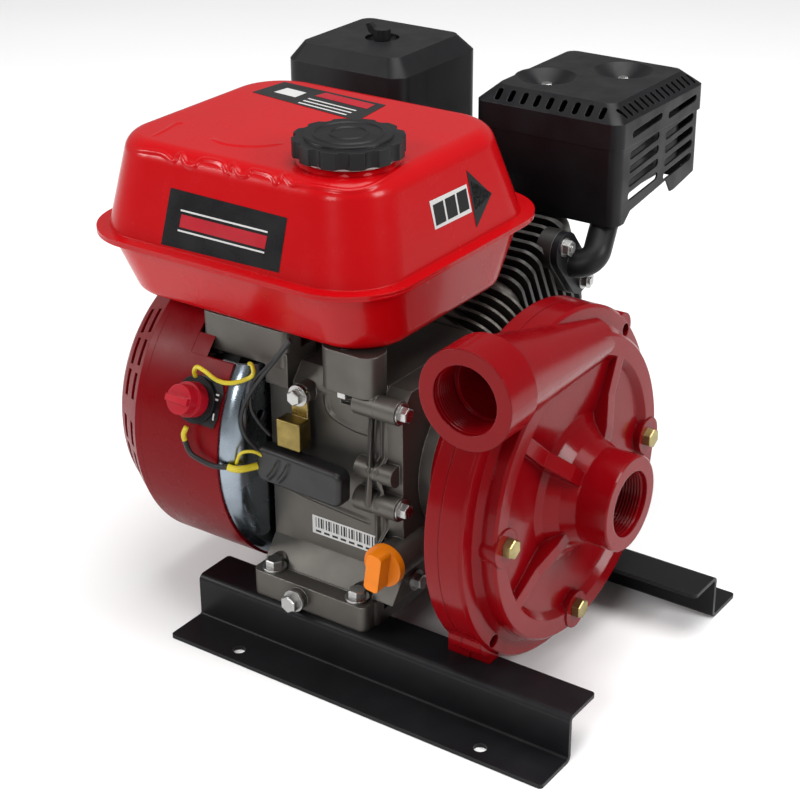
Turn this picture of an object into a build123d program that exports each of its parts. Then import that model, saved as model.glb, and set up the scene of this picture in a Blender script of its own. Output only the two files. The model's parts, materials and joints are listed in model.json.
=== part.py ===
from build123d import *
import math
import os

# Portable fire pump: a small air-cooled engine close-coupled to a single-stage pump.
# Millimetres. +X runs along the shaft to the suction port, -Y is the front with the
# fuel tank and the discharge port, +Y is the back with the muffler, +Z is up.
# The origin is the centre of the four base holes, on the floor.

os.makedirs("parts", exist_ok=True)

# ---- driving dimensions ----
shaft_z = 143                # height of the shaft
rail_length, rail_height, rail_t = 324, 37, 3
rail_web_y, rail_tip_y, rail_inner_y = 110, 145.5, 75
base_x, base_y, base_hole_r = 106, 133, 4.75
engine_x = -62               # middle of the engine's foot and cylinder
bolt_dx, bolt_front, bolt_back, foot_hole_r = 37.75, -95, 67, 4.3
foot_x0, foot_x1, foot_y0, foot_y1, foot_top = -113, -9, -96, 80, 57
foot_front = bolt_front - 10
case_x0, case_x1, case_top, case_wall = -112, -14, 218, 8
cover_x1, pad_x1, pad_r = 4, 14, 58
tilt = 25                    # cylinder above the horizontal
bore_r, barrel_r, deck_s, head_s, rocker_s = 34, 44, 130, 204, 234
fin_t, fin_pitch = 2.4, 9
bearing_r, journal_r, bearing_w = 26, 12.5, 15
housing_r, housing_x0, housing_x1, sheet = 119, -203, -130, 1.5
recoil_x0, recoil_r = -243, 97
tank_z0, rim_z, tank_z1 = 245, 296, 365
cap_x, cap_y, cap_r, cap_z0, cap_z1 = -65, -40, 39, 370.2, 384
filter_x, filter_y = -200.5, 190.5
shield_x0, shield_x1, shield_y0, shield_y1, shield_z0, shield_z1 = -104, 26, 178, 318, 264, 358
pump_r, flange_x0, flange_x1, volute_x1 = 129, 57, 68, 88
cover_r, cover_front, cover_bolt_r = 112, 100, 97.5
suction_x, suction_r, suction_bore = 142, 34.8, 24
outlet_x, outlet_y, outlet_z, outlet_r = 88, -129, 260, 35
impeller_r, shaft_r = 78, 9.5

tilt_c, tilt_s = math.cos(math.radians(tilt)), math.sin(math.radians(tilt))
cylinder_axis = Axis((engine_x, 0, shaft_z), (0, tilt_c, tilt_s))


# ---- helpers ----
def across(x):
    """Plane square to the shaft at x: its own x is +Y and its own y is +Z."""
    return Plane(origin=(x, 0, shaft_z), x_dir=(0, 1, 0), z_dir=(1, 0, 0))


def along_cylinder(s):
    """Plane square to the cylinder, s from the shaft: its own x is +X, its own y points down."""
    return Plane(origin=(engine_x, s * tilt_c, shaft_z + s * tilt_s), x_dir=(1, 0, 0), z_dir=(0, tilt_c, tilt_s))


def on_axis(x, y, z, direction, x_dir=None):
    """Plane at a point, facing a direction."""
    return Plane(origin=(x, y, z), z_dir=direction, x_dir=x_dir)


def polar(r, degrees):
    """Point at a radius and an angle, in a plane square to the shaft."""
    return (r * math.cos(math.radians(degrees)), r * math.sin(math.radians(degrees)))


def hex_bolt(flats, head, shank_r, shank, flange_r=0.0, flange_t=0.0):
    """Hexagon bolt with its head above the XY plane and its shank below."""
    with BuildPart() as bolt:
        with BuildSketch(Plane.XY.offset(flange_t)):
            RegularPolygon(flats / 2, 6, major_radius=False)
        extrude(amount=head)
        chamfer(bolt.faces().sort_by(Axis.Z)[-1].edges(), 0.12 * head)
        if flange_t:
            with Locations((0, 0, flange_t / 2)):
                Cylinder(flange_r, flange_t)
        with Locations((0, 0, -shank / 2)):
            Cylinder(shank_r, shank)
    return bolt.part


def rounded_tub(x0, x1, y0, y1, r0, z0, X0, X1, Y0, Y1, r1, z1):
    """Solid between a rounded rectangle at z0 and another at z1."""
    with BuildPart() as tub:
        with BuildSketch(Plane.XY.offset(z0)):
            with Locations(((x0 + x1) / 2, (y0 + y1) / 2)):
                RectangleRounded(x1 - x0, y1 - y0, r0)
        with BuildSketch(Plane.XY.offset(z1)):
            with Locations(((X0 + X1) / 2, (Y0 + Y1) / 2)):
                RectangleRounded(X1 - X0, Y1 - Y0, r1)
        loft()
    return tub.part


def lead(points, radius, bend):
    """Round lead along straight runs with tangent bends."""
    with BuildPart() as cable:
        with BuildLine() as route:
            FilletPolyline(*points, radius=bend)
        with BuildSketch(Plane(origin=route.line @ 0, z_dir=route.line % 0)):
            Circle(radius)
        sweep()
    return cable.part


# ---- base rails: pressed Z sections, flange out at the floor and in at the top ----
def rail_outline(side):
    """Corners of the Z section, as (y, z)."""
    web = rail_web_y * side
    web_in = (rail_web_y - rail_t) * side
    return [
        (rail_tip_y * side, 0), (web_in, 0), (web_in, rail_height - rail_t),
        (rail_inner_y * side, rail_height - rail_t), (rail_inner_y * side, rail_height),
        (web, rail_height), (web, rail_t), (rail_tip_y * side, rail_t),
    ]


for side, label in ((-1, "front_rail"), (1, "rear_rail")):
    with BuildPart() as rail:
        with BuildSketch(Plane.YZ.offset(-rail_length / 2)) as section:
            with BuildLine():
                Polyline(*rail_outline(side), close=True)
            make_face()
            outer = [(rail_web_y - rail_t, 0), (rail_web_y, rail_height)]
            inner = [(rail_web_y - rail_t, rail_height - rail_t), (rail_web_y, rail_t)]
            for corners, bend in ((outer, 5), (inner, 2)):
                for y, z in corners:
                    fillet(section.vertices().sort_by_distance((y * side, z, 0))[0], bend)
        extrude(amount=rail_length)
        fillet(rail.edges().filter_by(Axis.Z).filter_by(lambda e: e.length < rail_t + 0.1), 2.9)
        if side > 0:
            # tongue that reaches inward under the engine's back bolts
            with Locations((engine_x, 64, rail_height - rail_t / 2)):
                Box(122, 24, rail_t)
        with Locations((-base_x, base_y * side, rail_t), (base_x, base_y * side, rail_t)):
            Cylinder(base_hole_r, 4 * rail_t, mode=Mode.SUBTRACT)
        bolt_y = bolt_front if side < 0 else bolt_back
        with Locations((engine_x - bolt_dx, bolt_y, rail_height), (engine_x + bolt_dx, bolt_y, rail_height)):
            Cylinder(foot_hole_r, 4 * rail_t, mode=Mode.SUBTRACT)
    rail.part.label = label
    export_step(rail.part, f"parts/{label}.step")

# ---- crankcase: foot, case, ledge, tank posts and finned barrel in one casting ----
case_outline = [
    (-91, 39), (-91, 58), (-77, 76), (-77, 205), (-66, case_top),
    (42, case_top), (66, 168), (70, 150), (56, 112), (56, 39),
]
cover_bolts_yz = [(-79, 207), (-80, 132), (-62, 66), (50, 80)]
tank_bolt_places = [(-158, -74), (-42, -80)]
drain_r, adapter_bolt_r = 3, 47

with BuildPart() as crankcase:
    with BuildSketch(Plane.XY.offset(rail_height)):
        with Locations(((foot_x0 + foot_x1) / 2, (foot_y0 + foot_y1) / 2)):
            RectangleRounded(foot_x1 - foot_x0, foot_y1 - foot_y0, 8)
        with Locations((engine_x, bolt_front)):
            RectangleRounded(2 * bolt_dx + 27, 20, 6)
    extrude(amount=foot_top - rail_height)
    with BuildSketch(Plane.YZ.offset(case_x0)):
        with BuildLine():
            Polyline(*case_outline, close=True)
        make_face()
    extrude(amount=case_x1 - case_x0)
    with BuildSketch(along_cylinder(45)):
        Circle(barrel_r)
    extrude(amount=deck_s - 45)
    for i in range(6):
        with BuildSketch(along_cylinder(75 + fin_pitch * i)):
            with Locations((3, 4)):
                RectangleRounded(106, 96, 28)
        extrude(amount=fin_t)
    with BuildSketch(along_cylinder(deck_s - 6)):
        with Locations((0, 2)):
            RectangleRounded(92, 90, 20)
    extrude(amount=6)
    # front posts that carry the tank, and one behind it on the fins
    with BuildSketch(Plane.XY.offset(217)):
        with Locations((-129.5, -73)):
            RectangleRounded(77, 22, 6)
    extrude(amount=28)
    with Locations((-101, -66, 215)):
        Box(20, 34, 26)
    with BuildSketch(Plane.XY.offset(214)):
        with Locations((-37.5, -75)):
            RectangleRounded(47, 26, 11)
    extrude(amount=31)
    with Locations((engine_x, 82, 230)):
        Box(26, 20, 30)
    # bosses for the side cover's bolts and the drain plugs
    with BuildSketch(Plane.YZ.offset(-32)):
        for y, z in cover_bolts_yz:
            with Locations((y, z)):
                Circle(9)
    extrude(amount=case_x1 + 32)
    with Locations(on_axis(-22.5, -80, 157, (1, 0, 0))):
        Cylinder(8, 17)
    with Locations(on_axis(-70, foot_front, 47, (0, -1, 0)), on_axis(-78, -80, 202, (0, -1, 0))):
        Cylinder(8, 10)
    # main bearing seat on the flywheel side
    with BuildSketch(across(case_x0)):
        Circle(bearing_r + 8)
    extrude(amount=24)
    # inside: crank chamber, bore, bearing seat and shaft hole
    with BuildSketch(Plane.YZ.offset(case_x0 + case_wall)):
        with BuildLine():
            Polyline(*case_outline, close=True)
        make_face()
        offset(amount=-case_wall, kind=Kind.INTERSECTION)
        with Locations((0, shaft_z)):
            Circle(bearing_r + 8, mode=Mode.SUBTRACT)
    extrude(amount=40, mode=Mode.SUBTRACT)
    with BuildSketch(Plane.YZ.offset(case_x0 + 24)):
        with BuildLine():
            Polyline(*case_outline, close=True)
        make_face()
        offset(amount=-case_wall, kind=Kind.INTERSECTION)
    extrude(amount=case_x1 - case_x0, mode=Mode.SUBTRACT)
    with BuildSketch(along_cylinder(40)):
        Circle(bore_r)
    extrude(amount=deck_s, mode=Mode.SUBTRACT)
    with BuildSketch(across(case_x0 + 5)):
        Circle(bearing_r)
    extrude(amount=30, mode=Mode.SUBTRACT)
    with BuildSketch(across(case_x0 - 1)):
        Circle(14)
    extrude(amount=20, mode=Mode.SUBTRACT)
    # bolt holes: foot, tank posts, side cover
    for dx in (-bolt_dx, bolt_dx):
        for y in (bolt_front, bolt_back):
            with Locations((engine_x + dx, y, rail_height + 10)):
                Cylinder(foot_hole_r, 30, mode=Mode.SUBTRACT)
            with Locations((engine_x + dx, y, foot_top + 10)):
                Cylinder(10.5, 20, mode=Mode.SUBTRACT)
    with Locations(*[(x, y, 230) for x, y in tank_bolt_places]):
        Cylinder(3.1, 40, mode=Mode.SUBTRACT)
    with Locations((*tank_bolt_places[1], 207)):
        Cylinder(7.5, 14, mode=Mode.SUBTRACT)
    with Locations(*[on_axis(case_x1 - 10, y, z, (1, 0, 0)) for y, z in cover_bolts_yz]):
        Cylinder(3, 24, mode=Mode.SUBTRACT)
    with Locations(on_axis(-70, foot_front, 47, (0, -1, 0)), on_axis(-78, -80, 202, (0, -1, 0))):
        Cylinder(drain_r, 24, mode=Mode.SUBTRACT)
crankcase.part.label = "crankcase"
export_step(crankcase.part, "parts/crankcase.step")

# ---- side cover with the shaft's front bearing and the oil filler ----
filler_z = 93

with BuildPart() as side_cover:
    with BuildSketch(Plane.YZ.offset(case_x1)):
        with BuildLine():
            Polyline(*case_outline[1:-1], (56, 58), close=True)
        make_face()
        for y, z in cover_bolts_yz:
            with Locations((y, z)):
                Circle(9)
    extrude(amount=cover_x1 - case_x1)
    with BuildSketch(across(cover_x1)):
        Circle(pad_r)
    extrude(amount=pad_x1 - cover_x1, taper=2)
    with Locations(on_axis(0, -72, filler_z, (0, -1, 0))):
        Cylinder(14, 38)
    with Locations(on_axis(-6.5, -80, 157, (1, 0, 0))):
        Cylinder(8, 15)
    with Locations((case_x1 - 10, -72, filler_z)):
        Box(20, 60, 40, mode=Mode.SUBTRACT)
    with BuildSketch(across(case_x1)):
        Circle(bearing_r)
    extrude(amount=cover_x1 - case_x1 - 1, mode=Mode.SUBTRACT)
    with BuildSketch(across(case_x1)):
        Circle(14)
    extrude(amount=60, mode=Mode.SUBTRACT)
    with Locations(on_axis(0, -80, filler_z, (0, -1, 0))):
        Cylinder(9, 26, mode=Mode.SUBTRACT)
    with Locations(on_axis(0, -60, filler_z, (0, -1, 0))):
        Cylinder(3.6, 40, mode=Mode.SUBTRACT)
    for angle in (45, 135, 225, 315):
        y, z = polar(adapter_bolt_r, angle)
        with Locations(on_axis(pad_x1, y, shaft_z + z, (1, 0, 0))):
            Cylinder(4, 40, mode=Mode.SUBTRACT)
    with Locations(*[on_axis(case_x1 + 8, y, z, (1, 0, 0)) for y, z in cover_bolts_yz]):
        Cylinder(3, 30, mode=Mode.SUBTRACT)
side_cover.part.label = "side_cover"
export_step(side_cover.part, "parts/side_cover.step")

cover_bolt = hex_bolt(10, 6, 3, 28, 8, 1.5)
with BuildPart() as side_cover_bolts:
    with Locations(*[on_axis(cover_x1, y, z, (1, 0, 0)) for y, z in cover_bolts_yz]):
        add(cover_bolt)
    with Locations(on_axis(-78, -87, 202, (0, -1, 0))):
        add(hex_bolt(10, 6, drain_r, 9, 8, 2))
side_cover_bolts.part.label = "side_cover_bolts"
export_step(side_cover_bolts.part, "parts/side_cover_bolts.step")

# ---- foot bolts with their nuts under the rails ----
foot_bolt = hex_bolt(12, 6, 4, 32, 9, 2)
foot_places = [(engine_x + dx, y) for dx in (-bolt_dx, bolt_dx) for y in (bolt_front, bolt_back)]

with BuildPart() as foot_bolts:
    with Locations(*[(x, y, foot_top) for x, y in foot_places]):
        add(foot_bolt)
    with BuildSketch(Plane.XY.offset(rail_height - rail_t - 7)):
        with Locations(*foot_places):
            RegularPolygon(6.5, 6, major_radius=False)
    extrude(amount=7)
foot_bolts.part.label = "foot_bolts"
export_step(foot_bolts.part, "parts/foot_bolts.step")

# ---- drain plug on the front of the foot ----
with BuildPart() as drain_plug:
    with Locations(on_axis(-70, foot_front - 5, 47, (0, -1, 0))):
        add(hex_bolt(12, 7, drain_r, 9, 8.5, 2))
drain_plug.part.label = "drain_plug"
export_step(drain_plug.part, "parts/drain_plug.step")

# ---- main bearings ----
with BuildPart() as main_bearings:
    for x in (case_x0 + 5, cover_x1 - 1 - bearing_w):
        with BuildSketch(across(x)):
            Circle(bearing_r)
            Circle(journal_r + 0.05, mode=Mode.SUBTRACT)
        extrude(amount=bearing_w)
main_bearings.part.label = "main_bearings"
export_step(main_bearings.part, "parts/main_bearings.step")

# ---- crankshaft: flywheel taper, webs, crank pin and the long shaft to the impeller ----
pin_offset, pin_r, web_r, web_w = 27, 15, 47, 14
web_x0, web_x1 = -86, -52

with BuildPart() as crankshaft:
    for x0, x1, r in ((-206, -190, 7), (-190, case_x0 + 5, 12), (case_x0 + 5, web_x0, journal_r),
                      (web_x1 + web_w, cover_x1 - 1, journal_r), (cover_x1 - 1, 90, shaft_r), (90, 100, 6)):
        with BuildSketch(across(x0)):
            Circle(r)
        extrude(amount=x1 - x0)
    for x0 in (web_x0, web_x1):
        with BuildSketch(across(x0)):
            Circle(web_r)
            with Locations((-42, 40), (42, 40)):
                Circle(26, mode=Mode.SUBTRACT)
        extrude(amount=web_w)
    with BuildSketch(across(web_x0 + web_w)):
        with Locations((0, pin_offset)):
            Circle(pin_r)
    extrude(amount=web_x1 - web_x0 - web_w)
crankshaft.part.label = "crankshaft"
export_step(crankshaft.part, "parts/crankshaft.step")

# ---- flywheel with its fan blades, the starter cup and the nut that holds both ----
wheel_x0, wheel_x1, wheel_r, taper_r = -172, -150, 88, 12.05

with BuildPart() as flywheel:
    with BuildSketch(across(wheel_x0)):
        Circle(wheel_r)
        Circle(taper_r, mode=Mode.SUBTRACT)
    extrude(amount=8)
    with BuildSketch(across(wheel_x0)):
        Circle(wheel_r)
        Circle(wheel_r - 14, mode=Mode.SUBTRACT)
        Circle(22)
        Circle(taper_r, mode=Mode.SUBTRACT)
    extrude(amount=wheel_x1 - wheel_x0)
    with BuildSketch(across(wheel_x0 - 18)):
        with PolarLocations(65, 16):
            Rectangle(38, 2.6, rotation=24)
    extrude(amount=18)
flywheel.part.label = "flywheel"
export_step(flywheel.part, "parts/flywheel.step")

with BuildPart() as starter_cup:
    with BuildSketch(across(-202)):
        Circle(34)
        Circle(32, mode=Mode.SUBTRACT)
    extrude(amount=30)
    with BuildSketch(across(wheel_x0 - 3)):
        Circle(34)
        Circle(taper_r, mode=Mode.SUBTRACT)
    extrude(amount=3)
starter_cup.part.label = "starter_cup"
export_step(starter_cup.part, "parts/starter_cup.step")

with BuildPart() as flywheel_nut:
    with BuildSketch(across(-201)):
        RegularPolygon(11, 6, major_radius=False)
        Circle(7, mode=Mode.SUBTRACT)
    extrude(amount=11)
    with BuildSketch(across(-190)):
        Circle(16)
        Circle(taper_r, mode=Mode.SUBTRACT)
    extrude(amount=wheel_x0 - 3 + 190)
flywheel_nut.part.label = "flywheel_nut"
export_step(flywheel_nut.part, "parts/flywheel_nut.step")

# ---- fan housing: drum of sheet steel, notched round the tank post ----
with BuildPart() as fan_housing:
    with BuildSketch(across(housing_x0)):
        Circle(housing_r)
        Circle(housing_r - sheet, mode=Mode.SUBTRACT)
    extrude(amount=housing_x1 - housing_x0)
    with BuildSketch(across(housing_x0)):
        Circle(housing_r)
        Circle(96, mode=Mode.SUBTRACT)
    extrude(amount=sheet)
    with Locations((-135, -90, 245)):
        Box(70, 62, 60, mode=Mode.SUBTRACT)
fan_housing.part.label = "fan_housing"
export_step(fan_housing.part, "parts/fan_housing.step")

# ---- back shroud: zinc-plated ring that closes the drum on the engine side ----
shroud_x, shroud_lip = case_x0 - 3, housing_r - sheet - 0.2

with BuildPart() as back_shroud:
    with BuildSketch(Plane.XZ):
        with BuildLine():
            ring = Polyline((housing_x1 - 12, shaft_z + shroud_lip), (housing_x1, shaft_z + shroud_lip))
            outer_bend = TangentArc(ring @ 1, (shroud_x, shaft_z + 100), tangent=(1, 0))
            face = Polyline(outer_bend @ 1, (shroud_x, shaft_z + 40), (shroud_x - sheet, shaft_z + 40),
                            (shroud_x - sheet, shaft_z + 100))
            inner_bend = ThreePointArc(face @ 1, (shroud_x - sheet - 4.5, shaft_z + 111),
                                       (housing_x1, shaft_z + shroud_lip - sheet))
            Polyline(inner_bend @ 1, (housing_x1 - 12, shaft_z + shroud_lip - sheet), ring @ 0)
        make_face()
    revolve(axis=Axis((0, 0, shaft_z), (1, 0, 0)))
    with Locations((-135, -90, 245)):
        Box(70, 66, 60, mode=Mode.SUBTRACT)
    with Locations(Plane(origin=(shroud_x, -86, 176), z_dir=(1, 0, 0))):
        Cylinder(4, 12, mode=Mode.SUBTRACT)
back_shroud.part.label = "back_shroud"
export_step(back_shroud.part, "parts/back_shroud.step")

# ---- recoil starter: housing with two rings of air slots, pulley, rope and grip ----
rim_x0, rim_x1, rim_r1 = housing_x0 - 6, recoil_x0 + 5, recoil_r + 4
rope_z, rope_x = 62, -222
rim_lean = math.degrees(math.atan2(housing_r - rim_r1, rim_x0 - rim_x1))


def on_rim(part_way, degrees):
    """Plane on the slanted rim of the recoil housing, facing out."""
    x = rim_x0 + part_way * (rim_x1 - rim_x0)
    r = housing_r + part_way * (rim_r1 - housing_r)
    c, s = polar(1, degrees)
    lean_c, lean_s = polar(1, rim_lean)
    return Plane(origin=(x, r * c, shaft_z + r * s), x_dir=(0, -s, c), z_dir=(-lean_s, lean_c * c, lean_c * s))


with BuildPart() as recoil_housing:
    with BuildSketch(Plane.XZ):
        with BuildLine():
            Polyline(
                (housing_x0, shaft_z + housing_r), (rim_x0, shaft_z + housing_r), (rim_x1, shaft_z + rim_r1),
                (recoil_x0, shaft_z + rim_r1 - 5), (recoil_x0, shaft_z), (recoil_x0 + 2, shaft_z),
                (recoil_x0 + 2, shaft_z + rim_r1 - 6), (rim_x1 + 1, shaft_z + rim_r1 - 2),
                (rim_x0, shaft_z + housing_r - 2), (housing_x0, shaft_z + housing_r - 2), close=True)
        make_face()
    revolve(axis=Axis((0, 0, shaft_z), (1, 0, 0)))
    with BuildSketch(across(recoil_x0)):
        Circle(8)
    extrude(amount=28)
    slots = [on_rim(row, group * 45 + i * 13) for row in (0.27, 0.72) for group in range(8) for i in range(3)]
    with Locations(*slots):
        Box(20, 6, 14, mode=Mode.SUBTRACT)
    with Locations(*[Plane(origin=(recoil_x0, *polar_point), z_dir=(1, 0, 0)) for polar_point in
                     [(y, shaft_z + z) for y, z in [polar(62, 15 + 30 * i) for i in range(12)]]]):
        Box(9, 26, 12, mode=Mode.SUBTRACT)
    with Locations(on_axis(rope_x, 88, shaft_z + rope_z, (0, 1, 0))):
        Cylinder(5, 30, mode=Mode.SUBTRACT)
recoil_housing.part.label = "recoil_housing"
export_step(recoil_housing.part, "parts/recoil_housing.step")

with BuildPart() as recoil_pulley:
    with BuildSketch(across(-229)):
        Circle(rope_z - 2.5)
        Circle(8.05, mode=Mode.SUBTRACT)
        with PolarLocations(34, 6):
            Circle(9, mode=Mode.SUBTRACT)
    extrude(amount=14)
recoil_pulley.part.label = "recoil_pulley"
export_step(recoil_pulley.part, "parts/recoil_pulley.step")

with BuildPart() as recoil_rope:
    with BuildSketch(on_axis(rope_x, -82, shaft_z + rope_z, (0, 1, 0))):
        Circle(2)
    extrude(amount=82 + 102)
recoil_rope.part.label = "recoil_rope"
export_step(recoil_rope.part, "parts/recoil_rope.step")

with BuildPart() as recoil_grip:
    with BuildSketch(on_axis(rope_x, 102, shaft_z + rope_z, (0, 1, 0), (1, 0, 0))):
        Circle(8)
    extrude(amount=14)
    with BuildSketch(on_axis(rope_x, 114, shaft_z + rope_z, (0, 1, 0), (1, 0, 0))):
        SlotOverall(60, 16, rotation=90)
    extrude(amount=16)
    fillet(recoil_grip.faces().sort_by(Axis.Y)[-1].edges(), 4)
recoil_grip.part.label = "recoil_grip"
export_step(recoil_grip.part, "parts/recoil_grip.step")

# ---- engine switch: label plate and turning knob on the drum ----
switch_x, switch_angle = -153, 158


def on_drum(r, x=switch_x):
    """Plane over the switch at a radius from the shaft, facing out."""
    c, s = polar(1, switch_angle)
    return Plane(origin=(x, r * c, shaft_z + r * s), x_dir=(1, 0, 0), z_dir=(0, c, s))


with BuildPart() as switch_plate:
    with BuildSketch(on_drum(housing_r - 1)):
        Circle(17.5)
    extrude(amount=4)
    with BuildSketch(on_drum(housing_r + 3)):
        Circle(5.5)
    extrude(amount=8)
    with Locations(Plane(origin=(switch_x, 0, shaft_z), z_dir=(1, 0, 0))):
        Cylinder(housing_r, 60, mode=Mode.SUBTRACT)
switch_plate.part.label = "switch_plate"
export_step(switch_plate.part, "parts/switch_plate.step")

with BuildPart() as ignition_knob:
    with BuildSketch(on_drum(housing_r + 3.4)):
        Circle(13)
    extrude(amount=9)
    with BuildSketch(on_drum(housing_r + 12.4)):
        Circle(11)
    extrude(amount=9)
    with BuildSketch(on_drum(housing_r + 21.4)):
        Rectangle(20, 5)
    extrude(amount=3)
    with BuildSketch(on_drum(housing_r + 3)):
        Circle(5.6)
    extrude(amount=8.4, mode=Mode.SUBTRACT)
ignition_knob.part.label = "ignition_knob"
export_step(ignition_knob.part, "parts/ignition_knob.step")

# ---- ignition coil near the flywheel's rim ----
coil_angle = 205
coil_c, coil_s = polar(1, coil_angle)
with BuildPart() as ignition_coil:
    coil_seat = (-161, 92 * coil_c, shaft_z + 92 * coil_s)
    with BuildSketch(Plane(origin=coil_seat, x_dir=(1, 0, 0), z_dir=(0, coil_c, coil_s))):
        RectangleRounded(22, 40, 4)
    extrude(amount=18)
ignition_coil.part.label = "ignition_coil"
export_step(ignition_coil.part, "parts/ignition_coil.step")

# ---- cylinder head: finned block with the exhaust boss on its right side ----
port_s, port_n = 188, 14     # exhaust port, along the cylinder and above its axis


flange_turn, stud_gap = 105, 24   # exhaust flange: turn of its long side, studs from its middle


def stud_place(side):
    """Along the cylinder and above its axis, for one of the two exhaust studs."""
    a, b = polar(stud_gap * side, flange_turn)
    return port_s + a, port_n + b


def on_head(x, s, n, direction=(1, 0, 0)):
    """Plane at a point beside the head: s along the cylinder, n above its axis."""
    y, z = s * tilt_c - n * tilt_s, shaft_z + s * tilt_s + n * tilt_c
    return Plane(origin=(x, y, z), x_dir=(0, tilt_c, tilt_s), z_dir=direction)


with BuildPart() as cylinder_head:
    with BuildSketch(along_cylinder(deck_s)):
        with Locations((0, 3)):
            RectangleRounded(84, 78, 12)
    extrude(amount=head_s - deck_s)
    for i in range(8):
        with BuildSketch(along_cylinder(deck_s + 1 + 9.5 * i)):
            with Locations((0, 2)):
                RectangleRounded(100, 96, 14)
        extrude(amount=3)
    with BuildSketch(along_cylinder(head_s - 6)):
        with Locations((0, 2)):
            RectangleRounded(96, 88, 10)
    extrude(amount=6)
    with BuildSketch(on_head(-21, port_s, port_n)):
        SlotOverall(66, 32, rotation=flange_turn)
    extrude(amount=13)
    with BuildSketch(on_head(-112, port_s - 18, 0)):
        Circle(20)
    extrude(amount=30)
    # combustion chamber, ports and the seat for the spark plug
    with BuildSketch(along_cylinder(deck_s)):
        Circle(30)
    extrude(amount=9, mode=Mode.SUBTRACT)
    with BuildSketch(on_head(-7, port_s, port_n)):
        Circle(12)
    extrude(amount=-20, mode=Mode.SUBTRACT)
    with BuildSketch(on_head(-113, port_s - 18, 0)):
        Circle(12)
    extrude(amount=20, mode=Mode.SUBTRACT)
    for side in (-1, 1):
        with BuildSketch(on_head(-16, *stud_place(side))):
            Circle(3)
        extrude(amount=9, mode=Mode.SUBTRACT)
cylinder_head.part.label = "cylinder_head"
export_step(cylinder_head.part, "parts/cylinder_head.step")

rocker_bolts_xy = [(dx, dy) for dx in (-42, 36) for dy in (-24, 36)]

with BuildPart() as rocker_cover:
    with BuildSketch(along_cylinder(head_s)):
        with Locations((-3, 6)):
            RectangleRounded(86, 68, 12)
    extrude(amount=4)
    with BuildSketch(along_cylinder(head_s + 4)):
        with Locations((-3, 6)):
            RectangleRounded(74, 58, 14)
    extrude(amount=rocker_s - head_s - 4)
    fillet(rocker_cover.faces().sort_by(cylinder_axis)[-1].edges(), 9)
    with BuildSketch(along_cylinder(head_s)):
        with Locations((-3, 6)):
            RectangleRounded(68, 52, 11)
    extrude(amount=rocker_s - head_s - 4, mode=Mode.SUBTRACT)
    hole_plane = along_cylinder(head_s + 2)
    with Locations(*[hole_plane.location * Location((dx, dy, 0)) for dx, dy in rocker_bolts_xy]):
        Cylinder(2.5, 10, mode=Mode.SUBTRACT)
rocker_cover.part.label = "rocker_cover"
export_step(rocker_cover.part, "parts/rocker_cover.step")

rocker_bolt = hex_bolt(8, 5, 2.5, 3.9)
with BuildPart() as rocker_cover_bolts:
    bolt_plane = along_cylinder(head_s + 4)
    with Locations(*[bolt_plane.location * Location((dx, dy, 0)) for dx, dy in rocker_bolts_xy]):
        add(rocker_bolt)
rocker_cover_bolts.part.label = "rocker_cover_bolts"
export_step(rocker_cover_bolts.part, "parts/rocker_cover_bolts.step")

# ---- spark plug, its cap and the ignition lead ----
plug_plane = on_head(-92, 196, 46, (0, -tilt_s, tilt_c))
with BuildPart() as spark_plug:
    with BuildSketch(plug_plane):
        RegularPolygon(9, 6, major_radius=False)
    extrude(amount=10)
    with BuildSketch(plug_plane.offset(10)):
        Circle(5)
    extrude(amount=10)
spark_plug.part.label = "spark_plug"
export_step(spark_plug.part, "parts/spark_plug.step")

plug_top = plug_plane.offset(27).origin
ignition_route = [(-124, 114, 184), (-122, 124, 212), (-124, 134, 246), (-116, 140, 276),
                  (plug_top.X - 6, plug_top.Y, plug_top.Z - 3)]
with BuildPart() as ignition_lead:
    add(lead(ignition_route, 3, 8))
ignition_lead.part.label = "ignition_lead"
export_step(ignition_lead.part, "parts/ignition_lead.step")

with BuildPart() as plug_cap:
    with BuildSketch(plug_plane.offset(11)):
        Circle(9)
        Circle(5, mode=Mode.SUBTRACT)
    extrude(amount=9)
    with BuildSketch(plug_plane.offset(20)):
        Circle(9)
    extrude(amount=7)
    add(lead(ignition_route, 3, 8), mode=Mode.SUBTRACT)
plug_cap.part.label = "plug_cap"
export_step(plug_cap.part, "parts/plug_cap.step")

# ---- fuel tank: two pressed shells on a common rim ----
tank_notch_r, notch_x, notch_w = housing_r + 3, -191, 158
rim_box = (-264, 5, -117, 130)
lower_foot = (-246, -12, -86, 95)
waist = (-256, -4, -108, 121)
crown = (-245, -19, -92, 98)


def inset(box, t):
    """Rectangle (x0, x1, y0, y1) moved in by t on every side."""
    return (box[0] + t, box[1] - t, box[2] + t, box[3] - t)


inner_tub = rounded_tub(*inset(lower_foot, sheet), 38.5, tank_z0 + sheet, *inset(waist, sheet), 44.5, rim_z)
inner_tub = inner_tub.fillet(8.5, inner_tub.faces().sort_by(Axis.Z)[0].edges())
drum_clearance = Rot(0, 90, 0) * Cylinder(tank_notch_r + sheet, notch_w + 2 * sheet)
inner_tub = inner_tub - Pos(notch_x, 0, shaft_z) * drum_clearance

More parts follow.
